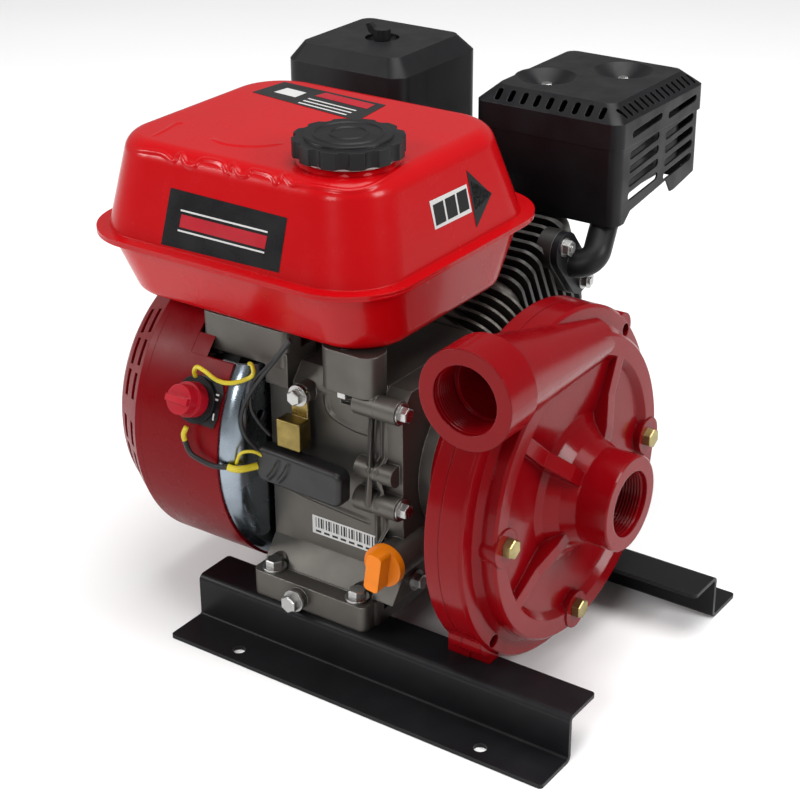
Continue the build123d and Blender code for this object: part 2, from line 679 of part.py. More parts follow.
with BuildPart() as tank_lower_shell:
    add(rounded_tub(*lower_foot, 40, tank_z0, *waist, 46, rim_z))
    fillet(tank_lower_shell.faces().sort_by(Axis.Z)[0].edges(), 10)
    with Locations(on_axis(notch_x, 0, shaft_z, (1, 0, 0))):
        Cylinder(tank_notch_r, notch_w, mode=Mode.SUBTRACT)
    with BuildSketch(Plane.XY.offset(rim_z - 2)):
        with Locations(((rim_box[0] + rim_box[1]) / 2, (rim_box[2] + rim_box[3]) / 2)):
            RectangleRounded(rim_box[1] - rim_box[0], rim_box[3] - rim_box[2], 53)
    extrude(amount=2)
    add(inner_tub, mode=Mode.SUBTRACT)
    with Locations(*[(x, y, tank_z0) for x, y in tank_bolt_places]):
        Cylinder(3.1, 8, mode=Mode.SUBTRACT)
tank_lower_shell.part.label = "tank_lower_shell"
export_step(tank_lower_shell.part, "parts/tank_lower_shell.step")

neck_z = 368
with BuildPart() as tank_upper_shell:
    add(rounded_tub(*waist, 46, rim_z, *crown, 44, tank_z1))
    fillet(tank_upper_shell.faces().sort_by(Axis.Z)[-1].edges(), 14)
    with BuildSketch(Plane.XY.offset(rim_z)):
        with Locations(((rim_box[0] + rim_box[1]) / 2, (rim_box[2] + rim_box[3]) / 2)):
            RectangleRounded(rim_box[1] - rim_box[0], rim_box[3] - rim_box[2], 53)
    extrude(amount=2)
    with BuildSketch(Plane.XY.offset(tank_z1 - 4)):
        with Locations((cap_x, cap_y)):
            Circle(40)
    with BuildSketch(Plane.XY.offset(neck_z)):
        with Locations((cap_x, cap_y)):
            Circle(33)
    loft()
    inner_dome = rounded_tub(*inset(waist, sheet), 44.5, rim_z, *inset(crown, sheet), 42.5, tank_z1 - sheet)
    inner_dome = inner_dome.fillet(12.5, inner_dome.faces().sort_by(Axis.Z)[-1].edges())
    add(inner_dome, mode=Mode.SUBTRACT)
    with Locations((cap_x, cap_y, tank_z1)):
        Cylinder(30, 40, mode=Mode.SUBTRACT)
tank_upper_shell.part.label = "tank_upper_shell"
export_step(tank_upper_shell.part, "parts/tank_upper_shell.step")

with BuildPart() as filler_neck:
    with BuildSketch(Plane.XY.offset(neck_z)):
        with Locations((cap_x, cap_y)):
            Circle(34)
            Circle(27, mode=Mode.SUBTRACT)
    extrude(amount=2)
    with BuildSketch(Plane.XY.offset(346)):
        with Locations((cap_x, cap_y)):
            Circle(30)
            Circle(27, mode=Mode.SUBTRACT)
    extrude(amount=neck_z - 346)
filler_neck.part.label = "filler_neck"
export_step(filler_neck.part, "parts/filler_neck.step")

with BuildPart() as fuel_cap:
    with BuildSketch(Plane.XY.offset(cap_z0)):
        with Locations((cap_x, cap_y)):
            Circle(cap_r)
            with PolarLocations(cap_r + 3.5, 12):
                Circle(6.5, mode=Mode.SUBTRACT)
    extrude(amount=cap_z1 - cap_z0 - 2)
    with BuildSketch(Plane.XY.offset(cap_z1 - 2)):
        with Locations((cap_x, cap_y)):
            Circle(cap_r - 8)
    extrude(amount=2)
    with Locations((cap_x, cap_y, cap_z0 - 6)):
        Cylinder(26.4, 12)
    fillet(fuel_cap.faces().sort_by(Axis.Z)[-1].edges(), 1.5)
fuel_cap.part.label = "fuel_cap"
export_step(fuel_cap.part, "parts/fuel_cap.step")

with BuildPart() as tank_bolts:
    seats = [on_axis(*place, z, (0, 0, -1)) for place, z in zip(tank_bolt_places, (217, 214))]
    with Locations(*seats):
        add(hex_bolt(11, 6, 3, 31))
tank_bolts.part.label = "tank_bolts"
export_step(tank_bolts.part, "parts/tank_bolts.step")

# ---- air cleaner: base with its boss, paper element, lift-off cover and wing nut ----
filter_z0, cover_seat, cover_shoulder, cover_top = 285, 297, 365, 378
filter_w, filter_d = 114, 113
filter_box = (filter_x - filter_w / 2, filter_x + filter_w / 2, filter_y - filter_d / 2, filter_y + filter_d / 2)
filter_crown = (filter_box[0] + 9, filter_box[1] - 11, filter_box[2] + 10, filter_box[3] - 11)

with BuildPart() as air_cleaner_base:
    with BuildSketch(Plane.XY.offset(filter_z0)):
        with Locations((filter_x, filter_y)):
            RectangleRounded(filter_w - 8, filter_d - 8, 10)
    extrude(amount=cover_seat - filter_z0 - 3)
    with BuildSketch(Plane.XY.offset(cover_seat - 3.2)):
        with Locations((filter_x, filter_y)):
            RectangleRounded(filter_w, filter_d, 13)
    extrude(amount=3)
    with BuildSketch(Plane.XY.offset(filter_z0 + 3)):
        with Locations((filter_x, filter_y)):
            RectangleRounded(filter_w - 14, filter_d - 14, 7)
    extrude(amount=30, mode=Mode.SUBTRACT)
    with Locations((filter_x, filter_y, filter_z0 + 6)):
        Cylinder(7, 9)
    # elbow down to the carburettor
    with BuildSketch(Plane.XY.offset(filter_z0)):
        with Locations((-188, 152)):
            RectangleRounded(30, 34, 8)
    extrude(amount=-92)
    with BuildSketch(Plane.XY.offset(filter_z0 + 4)):
        with Locations((-188, 152)):
            RectangleRounded(24, 28, 5)
    extrude(amount=-92, mode=Mode.SUBTRACT)
    with Locations(on_axis(-176, 152, 213, (1, 0, 0))):
        Cylinder(9, 8, mode=Mode.SUBTRACT)
air_cleaner_base.part.label = "air_cleaner_base"
export_step(air_cleaner_base.part, "parts/air_cleaner_base.step")

with BuildPart() as filter_element:
    with BuildSketch(Plane.XY.offset(filter_z0 + 3)):
        with Locations((filter_x, filter_y)):
            Circle(40)
            with PolarLocations(41, 40):
                Circle(1.6, mode=Mode.SUBTRACT)
            Circle(26, mode=Mode.SUBTRACT)
    extrude(amount=66)
filter_element.part.label = "filter_element"
export_step(filter_element.part, "parts/filter_element.step")

with BuildPart() as air_cleaner_cover:
    with BuildSketch(Plane.XY.offset(cover_seat)):
        with Locations((filter_x, filter_y)):
            RectangleRounded(filter_w, filter_d, 13)
    extrude(amount=cover_shoulder - cover_seat)
    add(rounded_tub(*filter_box, 13, cover_shoulder, *filter_crown, 9, cover_top))
    with BuildSketch(Plane.XY.offset(cover_seat)):
        with Locations((filter_x, filter_y)):
            RectangleRounded(filter_w - 4, filter_d - 4, 11)
    extrude(amount=cover_shoulder - cover_seat, mode=Mode.SUBTRACT)
    add(rounded_tub(*inset(filter_box, 2), 11, cover_shoulder, *inset(filter_crown, 3), 7, cover_top - 7),
        mode=Mode.SUBTRACT)
    with Locations((filter_x, filter_y, cover_top)):
        Cylinder(14, 6, mode=Mode.SUBTRACT)
        Cylinder(3.3, 30, mode=Mode.SUBTRACT)
air_cleaner_cover.part.label = "air_cleaner_cover"
export_step(air_cleaner_cover.part, "parts/air_cleaner_cover.step")

with BuildPart() as wing_nut:
    with Locations((filter_x, filter_y, 381)):
        Cylinder(7, 9)
    with BuildSketch(on_axis(filter_x, filter_y - 2, 376.5, (0, 1, 0), (1, 0, 0))):
        with BuildLine():
            for side in (-1, 1):
                Polyline((side * 4, -1.5), (side * 12, -4.5), (side * 15, -11), (side * 11, -12.5), (side * 4, -7),
                         (side * 4, -1.5))
        make_face()
    extrude(amount=4)
    with Locations((filter_x, filter_y, (filter_z0 + 11 + 385) / 2)):
        Cylinder(3, 385 - filter_z0 - 11)
wing_nut.part.label = "wing_nut"
export_step(wing_nut.part, "parts/wing_nut.step")

# ---- carburettor with its levers, throttle bracket and fuel hose ----
with BuildPart() as carburetor_body:
    with Locations(on_axis(-145.5, 152, 213, (1, 0, 0))):
        Cylinder(13, 55)
    with Locations((-150, 152, 205)):
        Box(26, 34, 26)
    with Locations(on_head(-115, port_s - 18, 0)):
        Cylinder(20, 6)
    with Locations(on_axis(-150, 152, 213, (1, 0, 0))):
        Cylinder(8, 80, mode=Mode.SUBTRACT)
    # float bowl with its drain screw
    with BuildSketch(Plane.XY.offset(193)):
        with Locations((-150, 152)):
            Circle(17)
    with BuildSketch(Plane.XY.offset(168)):
        with Locations((-150, 152)):
            Circle(14)
    loft()
    with BuildSketch(Plane.XY.offset(168)):
        with Locations((-150, 152)):
            RegularPolygon(5, 6, major_radius=False)
    extrude(amount=-4)
    # seats of the two levers
    for x, z in ((-160, 226), (-148, 200)):
        with Locations(on_axis(x, 169.3, z, (0, 1, 0))):
            Cylinder(8, 1.6)
    with Locations((-160, 163, 224)):
        Box(14, 12, 20)
carburetor_body.part.label = "carburetor_body"
export_step(carburetor_body.part, "parts/carburetor_body.step")

lever_y = 170.4
for label, pivot, length, width in (("choke_lever", (-160, 226), 34, 9), ("fuel_valve_lever", (-148, 200), 26, 8)):
    x, z = pivot
    with BuildPart() as lever:
        with BuildSketch(on_axis(x, lever_y, z, (0, 1, 0), (1, 0, 0))):
            Circle(6)
            with Locations((-length / 2, 0)):
                SlotOverall(length, width)
        extrude(amount=4)
    lever.part.label = label
    export_step(lever.part, f"parts/{label}.step")


throttle_y = 104
with BuildPart() as throttle_bracket:
    with BuildSketch(on_axis(-131, throttle_y, 226, (0, -1, 0), (1, 0, 0))):
        RectangleRounded(38, 30, 4)
    extrude(amount=2)
    with Locations((-116, 98, 214)):
        Box(8, 12, 6)
throttle_bracket.part.label = "throttle_bracket"
export_step(throttle_bracket.part, "parts/throttle_bracket.step")

with BuildPart() as throttle_lever:
    with BuildSketch(on_axis(-134, throttle_y + 0.4, 228, (0, 1, 0), (1, 0, 0))):
        Circle(7)
        with Locations((-17, -6)):
            SlotOverall(40, 9, rotation=19)
    extrude(amount=2.5)
throttle_lever.part.label = "throttle_lever"
export_step(throttle_lever.part, "parts/throttle_lever.step")

with BuildPart() as fuel_hose:
    add(lead([(-182, 86, 243.5), (-182, 92, 228), (-169, 113, 211), (-156, 132.8, 206)], 3.5, 9))
fuel_hose.part.label = "fuel_hose"
export_step(fuel_hose.part, "parts/fuel_hose.step")

# ---- exhaust: pipe with its flange, nuts, muffler body and two-piece heat shield ----
flange_t = 6
exhaust = on_head(-8, port_s, port_n)
muffler_box = (-98, 18, 188, 306)
muffler_z0, muffler_z1 = 282, 345

port = exhaust.origin
pipe_top = port.X + 12
gas_route = [(port.X - 1, port.Y, port.Z), (port.X + 23, port.Y, port.Z), (pipe_top, 205, muffler_z0 - 14),
             (pipe_top, 207, muffler_z0 + 4)]

with BuildPart() as exhaust_pipe:
    with BuildSketch(exhaust):
        SlotOverall(66, 30, rotation=flange_turn)
    extrude(amount=flange_t)
    add(lead(gas_route, 11, 13.5))
    add(lead(gas_route, 9.5, 13.5), mode=Mode.SUBTRACT)
    for side in (-1, 1):
        with BuildSketch(on_head(-9, *stud_place(side))):
            Circle(3)
        extrude(amount=flange_t + 2, mode=Mode.SUBTRACT)
    with Locations((0, 208, muffler_z0 + 10)):
        Box(60, 60, 20, mode=Mode.SUBTRACT)
exhaust_pipe.part.label = "exhaust_pipe"
export_step(exhaust_pipe.part, "parts/exhaust_pipe.step")

with BuildPart() as exhaust_nuts:
    for side in (-1, 1):
        stud = on_head(-8 + flange_t, *stud_place(side))
        with BuildSketch(stud):
            Circle(7.5)
        extrude(amount=1.5)
        with BuildSketch(stud.offset(1.5)):
            RegularPolygon(5.5, 6, major_radius=False)
        extrude(amount=5)
        with BuildSketch(stud.offset(-flange_t - 8)):
            Circle(3)
        extrude(amount=flange_t + 16)
exhaust_nuts.part.label = "exhaust_nuts"
export_step(exhaust_nuts.part, "parts/exhaust_nuts.step")

with BuildPart() as muffler_body:
    add(rounded_tub(*muffler_box, 20, muffler_z0, *muffler_box, 20, muffler_z1))
    fillet(muffler_body.faces().sort_by(Axis.Z)[-1].edges(), 5)
    fillet(muffler_body.faces().sort_by(Axis.Z)[0].edges(), 5)
    add(rounded_tub(*inset(muffler_box, 2), 18, muffler_z0 + 2, *inset(muffler_box, 2), 18, muffler_z1 - 2),
        mode=Mode.SUBTRACT)
    with Locations((pipe_top, 207, muffler_z0)):
        Cylinder(9.5, 10, mode=Mode.SUBTRACT)
    with Locations(on_axis(-42, 304, 315, (0, 1, 0))):
        Cylinder(9, 20, mode=Mode.SUBTRACT)
    with BuildSketch(on_axis(-42, 305, 315, (0, 1, 0))):
        Circle(11)
        Circle(9, mode=Mode.SUBTRACT)
    extrude(amount=4)
muffler_body.part.label = "muffler_body"
export_step(muffler_body.part, "parts/muffler_body.step")

shield_box = (shield_x0, shield_x1, shield_y0, shield_y1)
seam_z, shield_slope, shield_t = 326, 12, 1.5
dimples = [(-68, 228), (-26, 276)]
dimple_r, dimple_depth = 24, 10

with BuildPart() as shield_lid:
    add(rounded_tub(*shield_box, 9, seam_z, *shield_box, 9, shield_z1 - shield_slope))
    add(rounded_tub(*shield_box, 9, shield_z1 - shield_slope, *inset(shield_box, shield_slope + 1), 8, shield_z1))
    lid_inner = inset(shield_box, shield_t)
    add(rounded_tub(*lid_inner, 7.5, seam_z, *lid_inner, 7.5, shield_z1 - shield_slope), mode=Mode.SUBTRACT)
    add(rounded_tub(*lid_inner, 7.5, shield_z1 - shield_slope,
                    *inset(shield_box, shield_slope + 1 + shield_t), 6.5, shield_z1 - shield_t), mode=Mode.SUBTRACT)
    for skin, mode in ((shield_t, Mode.ADD), (0, Mode.SUBTRACT)):
        for x, y in dimples:
            with BuildSketch(Plane.XY.offset(shield_z1)):
                with Locations((x, y)):
                    Circle(dimple_r + skin)
            with BuildSketch(Plane.XY.offset(shield_z1 - dimple_depth - skin)):
                with Locations((x, y)):
                    Circle(7 + skin)
            loft(mode=mode)
    with Locations(*[(x, y, shield_z1 - dimple_depth) for x, y in dimples]):
        Cylinder(2.5, 8, mode=Mode.SUBTRACT)
    with BuildSketch(Plane(origin=((shield_x0 + shield_x1) / 2, shield_y0 + 6, shield_z1 - 6), x_dir=(1, 0, 0),
                           z_dir=(0, -1, 1))):
        with GridLocations(11.5, 1, 9, 1):
            SlotOverall(11, 5, rotation=90)
    extrude(amount=6, both=True, mode=Mode.SUBTRACT)
    with BuildSketch(Plane(origin=(shield_x1 - 6, (shield_y0 + shield_y1) / 2, shield_z1 - 6), x_dir=(0, 1, 0),
                           z_dir=(1, 0, 1))):
        with GridLocations(8.6, 1, 14, 1):
            SlotOverall(11, 3.6, rotation=105)
    extrude(amount=6, both=True, mode=Mode.SUBTRACT)
    with BuildSketch(Plane.YZ.offset(shield_x1 - 3)):
        with Locations((222, 336), (280, 336)):
            SlotOverall(48, 5.5, rotation=4)
    extrude(amount=6, mode=Mode.SUBTRACT)
shield_lid.part.label = "shield_lid"
export_step(shield_lid.part, "parts/shield_lid.step")

with BuildPart() as shield_sides:
    wrap_outer = inset(shield_box, shield_t + 0.1)
    wrap_inner = inset(shield_box, 2 * shield_t + 0.1)
    add(rounded_tub(*wrap_outer, 9, shield_z0, *wrap_outer, 9, seam_z + 5))
    add(rounded_tub(*wrap_inner, 7.5, shield_z0, *wrap_inner, 7.5, seam_z + 5), mode=Mode.SUBTRACT)
    # stepped lower edge and two columns of louvres on the right side
    with BuildSketch(Plane.YZ.offset(shield_x1 - 16)):
        with BuildLine():
            Polyline((186, 258), (203, 272), (262, 280), (270, 268), (276, 268), (320, 276), (320, 258), close=True)
        make_face()
        with GridLocations(58, 11, 2, 4):
            with Locations((251, 303)):
                SlotOverall(48, 6.5, rotation=6)
    extrude(amount=17, mode=Mode.SUBTRACT)
    with BuildSketch(Plane.YZ.offset(shield_x0 + 16)):
        with Locations((248, 262)):
            Rectangle(90, 26)
    extrude(amount=-17, mode=Mode.SUBTRACT)
shield_sides.part.label = "shield_sides"
export_step(shield_sides.part, "parts/shield_sides.step")

with BuildPart() as shield_screws:
    for x, y in dimples:
        with Locations((x, y, shield_z1 - dimple_depth)):
            add(hex_bolt(8, 3.5, 2.5, 2.7, 5.5, 1))
shield_screws.part.label = "shield_screws"
export_step(shield_screws.part, "parts/shield_screws.step")

# ---- oil level parts on the front wall, with their leads ----
with BuildPart() as oil_alert_unit:
    with Locations((-80, -92, 174)):
        Box(21, 14, 22)
    fillet(oil_alert_unit.edges(), 1.5)
    with Locations((-78, -86, 192)):
        Box(14, 2, 30)
    with Locations(on_axis(-78, -86, 202, (0, -1, 0))):
        Cylinder(drain_r, 12, mode=Mode.SUBTRACT)
oil_alert_unit.part.label = "oil_alert_unit"
export_step(oil_alert_unit.part, "parts/oil_alert_unit.step")

switch_route = [(-153, -123.5, 171), (-154.5, -125, 160), (-146, -124.5, 149), (-130, -122.5, 144.5),
                (-113, -115, 144), (-104, -98, 144)]
ground_route = [(-152, -112, 207), (-148, -117, 216), (-138, -118, 219), (-128, -114, 211), (-116, -106, 209),
                (-108, -99, 213), (-118, -92, 217)]
sensor_route = [(-82, -89, 243.6), (-90, -98, 228), (-107, -101, 204), (-114.5, -106, 189), (-114, -108, 174),
                (-111, -102, 160), (-103, -98, 152)]

with BuildPart() as lead_sleeve:
    with BuildSketch(on_axis(-69, -92, 146, (0, -1, 0), (1, 0, 0))):
        RectangleRounded(76, 28, 7, rotation=-2)
    extrude(amount=12)
    fillet(lead_sleeve.faces().sort_by(Axis.Y)[0].edges(), 4)
    add(lead(switch_route, 2, 6), mode=Mode.SUBTRACT)
    add(lead(sensor_route, 1.8, 6), mode=Mode.SUBTRACT)
lead_sleeve.part.label = "lead_sleeve"
export_step(lead_sleeve.part, "parts/lead_sleeve.step")

with BuildPart() as switch_leads:
    add(lead(switch_route, 2, 6))
    add(lead(ground_route, 1.6, 5))
switch_leads.part.label = "switch_leads"
export_step(switch_leads.part, "parts/switch_leads.step")

with BuildPart() as sensor_lead:
    add(lead(sensor_route, 1.8, 6))
sensor_lead.part.label = "sensor_lead"
export_step(sensor_lead.part, "parts/sensor_lead.step")

# ---- oil filler plug with its dipstick ----
with BuildPart() as dipstick:
    with Locations(on_axis(0, -94.5, filler_z, (0, -1, 0))):
        Cylinder(15.5, 6)
    with Locations(on_axis(0, -85, filler_z, (0, -1, 0))):
        Cylinder(8.95, 13)
    with Locations(on_axis(0, -62, filler_z, (0, -1, 0))):
        Cylinder(2.5, 40)
    with BuildSketch(on_axis(0, -97.5, filler_z, (0, -1, 0), (1, 0, 0))):
        RectangleRounded(12, 30, 3, rotation=-8)
    extrude(amount=12)
dipstick.part.label = "dipstick"
export_step(dipstick.part, "parts/dipstick.step")

# ---- pump adapter: bolted to the side cover, with feet on the rails ----
lug_angles = (45, 225, 315)
through_angles = (0, 180, 270)
lug_ring, lug_r, foot_x = 122, 12.5, 59

with BuildPart() as pump_adapter:
    with BuildSketch(Plane.XZ):
        with BuildLine():
            Polyline(*[(x, shaft_z + r) for x, r in
                       ((14, 40), (14, 58), (24, 58), (24, 56), (45, 74), (flange_x0, 82), (flange_x0, pump_r),
                        (flange_x1, pump_r), (flange_x1, 22), (60, 22), (60, 68), (47, 64), (26, 44), (14, 40))])
        make_face()
    revolve(axis=Axis((0, 0, shaft_z), (1, 0, 0)))
    with BuildSketch(across(flange_x0)):
        for angle in lug_angles:
            with Locations(polar(lug_ring, angle)):
                Circle(lug_r)
    extrude(amount=flange_x1 - flange_x0)
    with Locations((foot_x, -79, rail_height + 11), (foot_x, 79, rail_height + 11)):
        Box(18, 18, 22)
    with BuildSketch(across(flange_x0 - 20)):
        for angle in lug_angles:
            with Locations(polar(lug_ring, angle)):
                Circle(5)
        for angle in through_angles:
            with Locations(polar(cover_bolt_r, angle)):
                Circle(4)
    extrude(amount=60, mode=Mode.SUBTRACT)
    for angle in (45, 135, 225, 315):
        y, z = polar(adapter_bolt_r, angle)
        with Locations(Plane(origin=(19, y, shaft_z + z), z_dir=(1, 0, 0))):
            Cylinder(4, 12, mode=Mode.SUBTRACT)
        with Locations(Plane(origin=(34, y, shaft_z + z), z_dir=(1, 0, 0))):
            Cylinder(8.5, 20, mode=Mode.SUBTRACT)
pump_adapter.part.label = "pump_adapter"
export_step(pump_adapter.part, "parts/pump_adapter.step")

adapter_bolt = hex_bolt(12, 7, 4, 20, 8, 1.5)
with BuildPart() as adapter_bolts:
    for angle in (45, 135, 225, 315):
        y, z = polar(adapter_bolt_r, angle)
        with Locations(Plane(origin=(24, y, shaft_z + z), z_dir=(1, 0, 0))):
            add(adapter_bolt)
adapter_bolts.part.label = "adapter_bolts"
export_step(adapter_bolts.part, "parts/adapter_bolts.step")

# ---- volute casing: flange, body, tangential outlet, suction nozzle and ribs ----
front_x, thread_depth = 102, 25
casing_x0 = flange_x1 + 0.2


def spiral(degrees, r0=86, r1=106):
    """Outer wall of the water channel, which widens round the impeller towards the outlet."""
    return polar(r0 + (r1 - r0) * degrees / 360, 90 + degrees)


with BuildPart() as volute_casing:
    with BuildSketch(Plane.XZ):
        with BuildLine():
            Polyline(*[(x, shaft_z + r) for x, r in
                       ((casing_x0, 0), (casing_x0, pump_r), (84, pump_r), (86, pump_r - 2), (87, 117), (91, cover_r),
                        (front_x - 2, cover_r), (front_x, cover_r - 2), (front_x, 97), (97, 92), (97, 54),
                        (100, 48), (108, 40), (118, suction_r), (suction_x - 1, suction_r),
                        (suction_x, suction_r - 1), (suction_x, 0))], close=True)
        make_face()
    revolve(axis=Axis((0, 0, shaft_z), (1, 0, 0)))
    with BuildSketch(across(casing_x0)):
        for angle in lug_angles:
            with Locations(polar(lug_ring, angle)):
                Circle(lug_r)
    extrude(amount=84 - casing_x0)
    with Locations((76.2, -79, rail_height + 10.2), (76.2, 79, rail_height + 10.2)):
        Box(15.6, 17, 20)
    with BuildSketch(across(86)):
        for angle in through_angles:
            with Locations(polar(cover_bolt_r + 2, angle)):
                Circle(14)
    extrude(amount=front_x + 1 - 86)
    # outlet neck, swelling from the top of the body to the threaded collar
    with BuildSketch(on_axis(outlet_x, -98, outlet_z, (0, -1, 0), (1, 0, 0))):
        Circle(32)
    with BuildSketch(on_axis(86, 42, 239, (0, -1, 0), (1, 0, 0))):
        Circle(16)
    loft()
    with BuildSketch(on_axis(outlet_x, outlet_y, outlet_z, (0, 1, 0), (1, 0, 0))):
        Circle(outlet_r)
    extrude(amount=31)
    with Locations(on_axis(casing_x0 - 30, 0, shaft_z, (1, 0, 0))):
        Cylinder(pump_r + 0.3, 60, mode=Mode.SUBTRACT)
    # ribs from the nozzle to the rim
    for angle, crest in ((58, 112), (138, 118), (214, 112)):
        c, s = polar(1, angle)
        with BuildSketch(Plane(origin=(0, 0, shaft_z), x_dir=(0, c, s), z_dir=(0, s, -c))):
            with BuildLine():
                Polyline((30, 90), (30, crest), (48, crest - 2), (70, front_x + 2), (97, front_x), (97, 90), close=True)
            make_face()
        extrude(amount=5.5, both=True)
    # water channel, impeller chamber, outlet passage, bosses and bores
    with BuildSketch(across(casing_x0)):
        with BuildLine():
            wall = Spline(*[spiral(20 * i) for i in range(19)])
            Line(wall @ 1, wall @ 0)
        make_face()
        Circle(impeller_r + 3)
    extrude(amount=19, mode=Mode.SUBTRACT)
    with BuildSketch(on_axis(outlet_x + 1, outlet_y + thread_depth - 1, outlet_z, (0, -1, 0), (1, 0, 0))):
        Circle(suction_bore - 2)
    with BuildSketch(on_axis(outlet_x, 32, 240, (0, -1, 0), (1, 0, 0))):
        Circle(9)
    loft(mode=Mode.SUBTRACT)
    with BuildSketch(across(casing_x0)):
        for angle in through_angles:
            with Locations(polar(cover_bolt_r, angle)):
                Circle(8.5)
    extrude(amount=25)
    with BuildSketch(across(casing_x0 - 1)):
        Circle(suction_bore - 2)
        for angle in through_angles:
            with Locations(polar(cover_bolt_r, angle)):
                Circle(4)
        for angle in lug_angles:
            with Locations(polar(lug_ring, angle)):
                Circle(5)
    extrude(amount=90, mode=Mode.SUBTRACT)
    # threaded mouths, 25 deep
    with Locations(on_axis(outlet_x, outlet_y, outlet_z, (0, -1, 0)), on_axis(suction_x, 0, shaft_z, (1, 0, 0))):
        Cylinder(suction_bore, 2 * thread_depth, mode=Mode.SUBTRACT)
volute_casing.part.label = "volute_casing"
export_step(volute_casing.part, "parts/volute_casing.step")

with BuildPart() as casing_bolts:
    for angle in through_angles:
        y, z = polar(cover_bolt_r, angle)
        with Locations(Plane(origin=(front_x + 1, y, shaft_z + z), z_dir=(1, 0, 0))):
            add(hex_bolt(13, 6, 4, front_x - 47))
    with BuildSketch(across(flange_x0 - 7)):
        with Locations(*[polar(cover_bolt_r, angle) for angle in through_angles]):
            RegularPolygon(6.5, 6, major_radius=False)
    extrude(amount=7)
casing_bolts.part.label = "casing_bolts"
export_step(casing_bolts.part, "parts/casing_bolts.step")

# ---- shaft seal, impeller and its nut ----
with BuildPart() as seal_seat:
    with BuildSketch(across(60)):
        Circle(22)
        Circle(14, mode=Mode.SUBTRACT)
    extrude(amount=5)
seal_seat.part.label = "seal_seat"
export_step(seal_seat.part, "parts/seal_seat.step")

with BuildPart() as impeller:
    with BuildSketch(across(73)):
        Circle(impeller_r)
        Circle(shaft_r, mode=Mode.SUBTRACT)
    extrude(amount=3)
    with BuildSketch(across(65.3)):
        Circle(18)
        Circle(shaft_r, mode=Mode.SUBTRACT)
    extrude(amount=22)
    with BuildSketch(across(83)):
        Circle(impeller_r)
        Circle(26, mode=Mode.SUBTRACT)
    extrude(amount=3)
    with BuildSketch(across(76)):
        with PolarLocations(0, 6):
            with BuildLine():
                vane = ThreePointArc((20, 0), (50, 8), (72, 34))
                offset(vane, amount=1.8, side=Side.BOTH)
            make_face()
    extrude(amount=7)
impeller.part.label = "impeller"
export_step(impeller.part, "parts/impeller.step")

with BuildPart() as impeller_nut:
    with BuildSketch(across(90)):
        RegularPolygon(9, 6, major_radius=False)
        Circle(6, mode=Mode.SUBTRACT)
    extrude(amount=8)
impeller_nut.part.label = "impeller_nut"
export_step(impeller_nut.part, "parts/impeller_nut.step")
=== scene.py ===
import bpy
import bmesh
import json
import math
from mathutils import Matrix, Vector
from mathutils.bvhtree import BVHTree


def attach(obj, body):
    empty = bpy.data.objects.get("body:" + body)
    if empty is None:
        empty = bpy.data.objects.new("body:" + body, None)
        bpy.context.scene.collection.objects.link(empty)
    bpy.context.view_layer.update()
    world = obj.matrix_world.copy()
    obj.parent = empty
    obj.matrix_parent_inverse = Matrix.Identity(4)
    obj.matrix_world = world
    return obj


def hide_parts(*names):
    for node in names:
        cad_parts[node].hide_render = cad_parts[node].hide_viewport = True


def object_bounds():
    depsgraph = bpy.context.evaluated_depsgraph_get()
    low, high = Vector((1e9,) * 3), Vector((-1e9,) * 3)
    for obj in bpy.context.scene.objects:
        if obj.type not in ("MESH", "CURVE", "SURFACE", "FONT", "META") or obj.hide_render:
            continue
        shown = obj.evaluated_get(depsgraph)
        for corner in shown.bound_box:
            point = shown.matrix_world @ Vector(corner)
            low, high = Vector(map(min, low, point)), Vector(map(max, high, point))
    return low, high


# Looks of a portable fire pump: enamelled castings and sheet, black plastic, zinc and steel.
# Metres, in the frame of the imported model: +X along the shaft to the suction port, +Z up.

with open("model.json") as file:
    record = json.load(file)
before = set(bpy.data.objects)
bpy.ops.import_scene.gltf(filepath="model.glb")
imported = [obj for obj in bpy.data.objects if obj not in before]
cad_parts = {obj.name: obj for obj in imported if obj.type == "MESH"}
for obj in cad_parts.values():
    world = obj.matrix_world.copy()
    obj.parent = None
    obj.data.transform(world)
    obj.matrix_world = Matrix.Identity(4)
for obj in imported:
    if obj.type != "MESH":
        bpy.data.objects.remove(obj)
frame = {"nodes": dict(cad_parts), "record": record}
cad_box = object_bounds()
nodes = frame["nodes"]
MM = 0.001
SHAFT_Z = 143             # height of the shaft, mm
CAP_X, CAP_Y, CAP_TOP = -65, -40, 384
DRUM_R = 118.9            # just inside the drum's outer skin
FILM_LIFT = 0.32          # of a print above the label under it


# ---- materials ----
def graph(name):
    """New node material: its nodes, its links and its shader."""
    mat = bpy.data.materials.new(name)
    mat.use_nodes = True
    nodes_, links = mat.node_tree.nodes, mat.node_tree.links
    return mat, nodes_, links, nodes_["Principled BSDF"]


def noise(tree, links, scale, detail, stretch=None):
    """Noise over the object's own place, scale in features per metre."""
    place = tree.new("ShaderNodeTexCoord")
    tex = tree.new("ShaderNodeTexNoise")
    tex.inputs["Scale"].default_value = scale
    tex.inputs["Detail"].default_value = detail
    tex.inputs["Roughness"].default_value = 0.55
    source = place.outputs["Object"]
    if stretch:
        mapping = tree.new("ShaderNodeMapping")
        mapping.inputs["Scale"].default_value = stretch
        links.new(source, mapping.inputs["Vector"])
        source = mapping.outputs["Vector"]
    links.new(source, tex.inputs["Vector"])
    return tex.outputs["Fac"]


def spread(tree, links, value, low, high, start=0.3, end=0.7):
    """Value from start..end carried to low..high."""
    node = tree.new("ShaderNodeMapRange")
    node.inputs["From Min"].default_value = start
    node.inputs["From Max"].default_value = end
    node.inputs["To Min"].default_value = low
    node.inputs["To Max"].default_value = high
    links.new(value, node.inputs["Value"])
    return node.outputs["Result"]


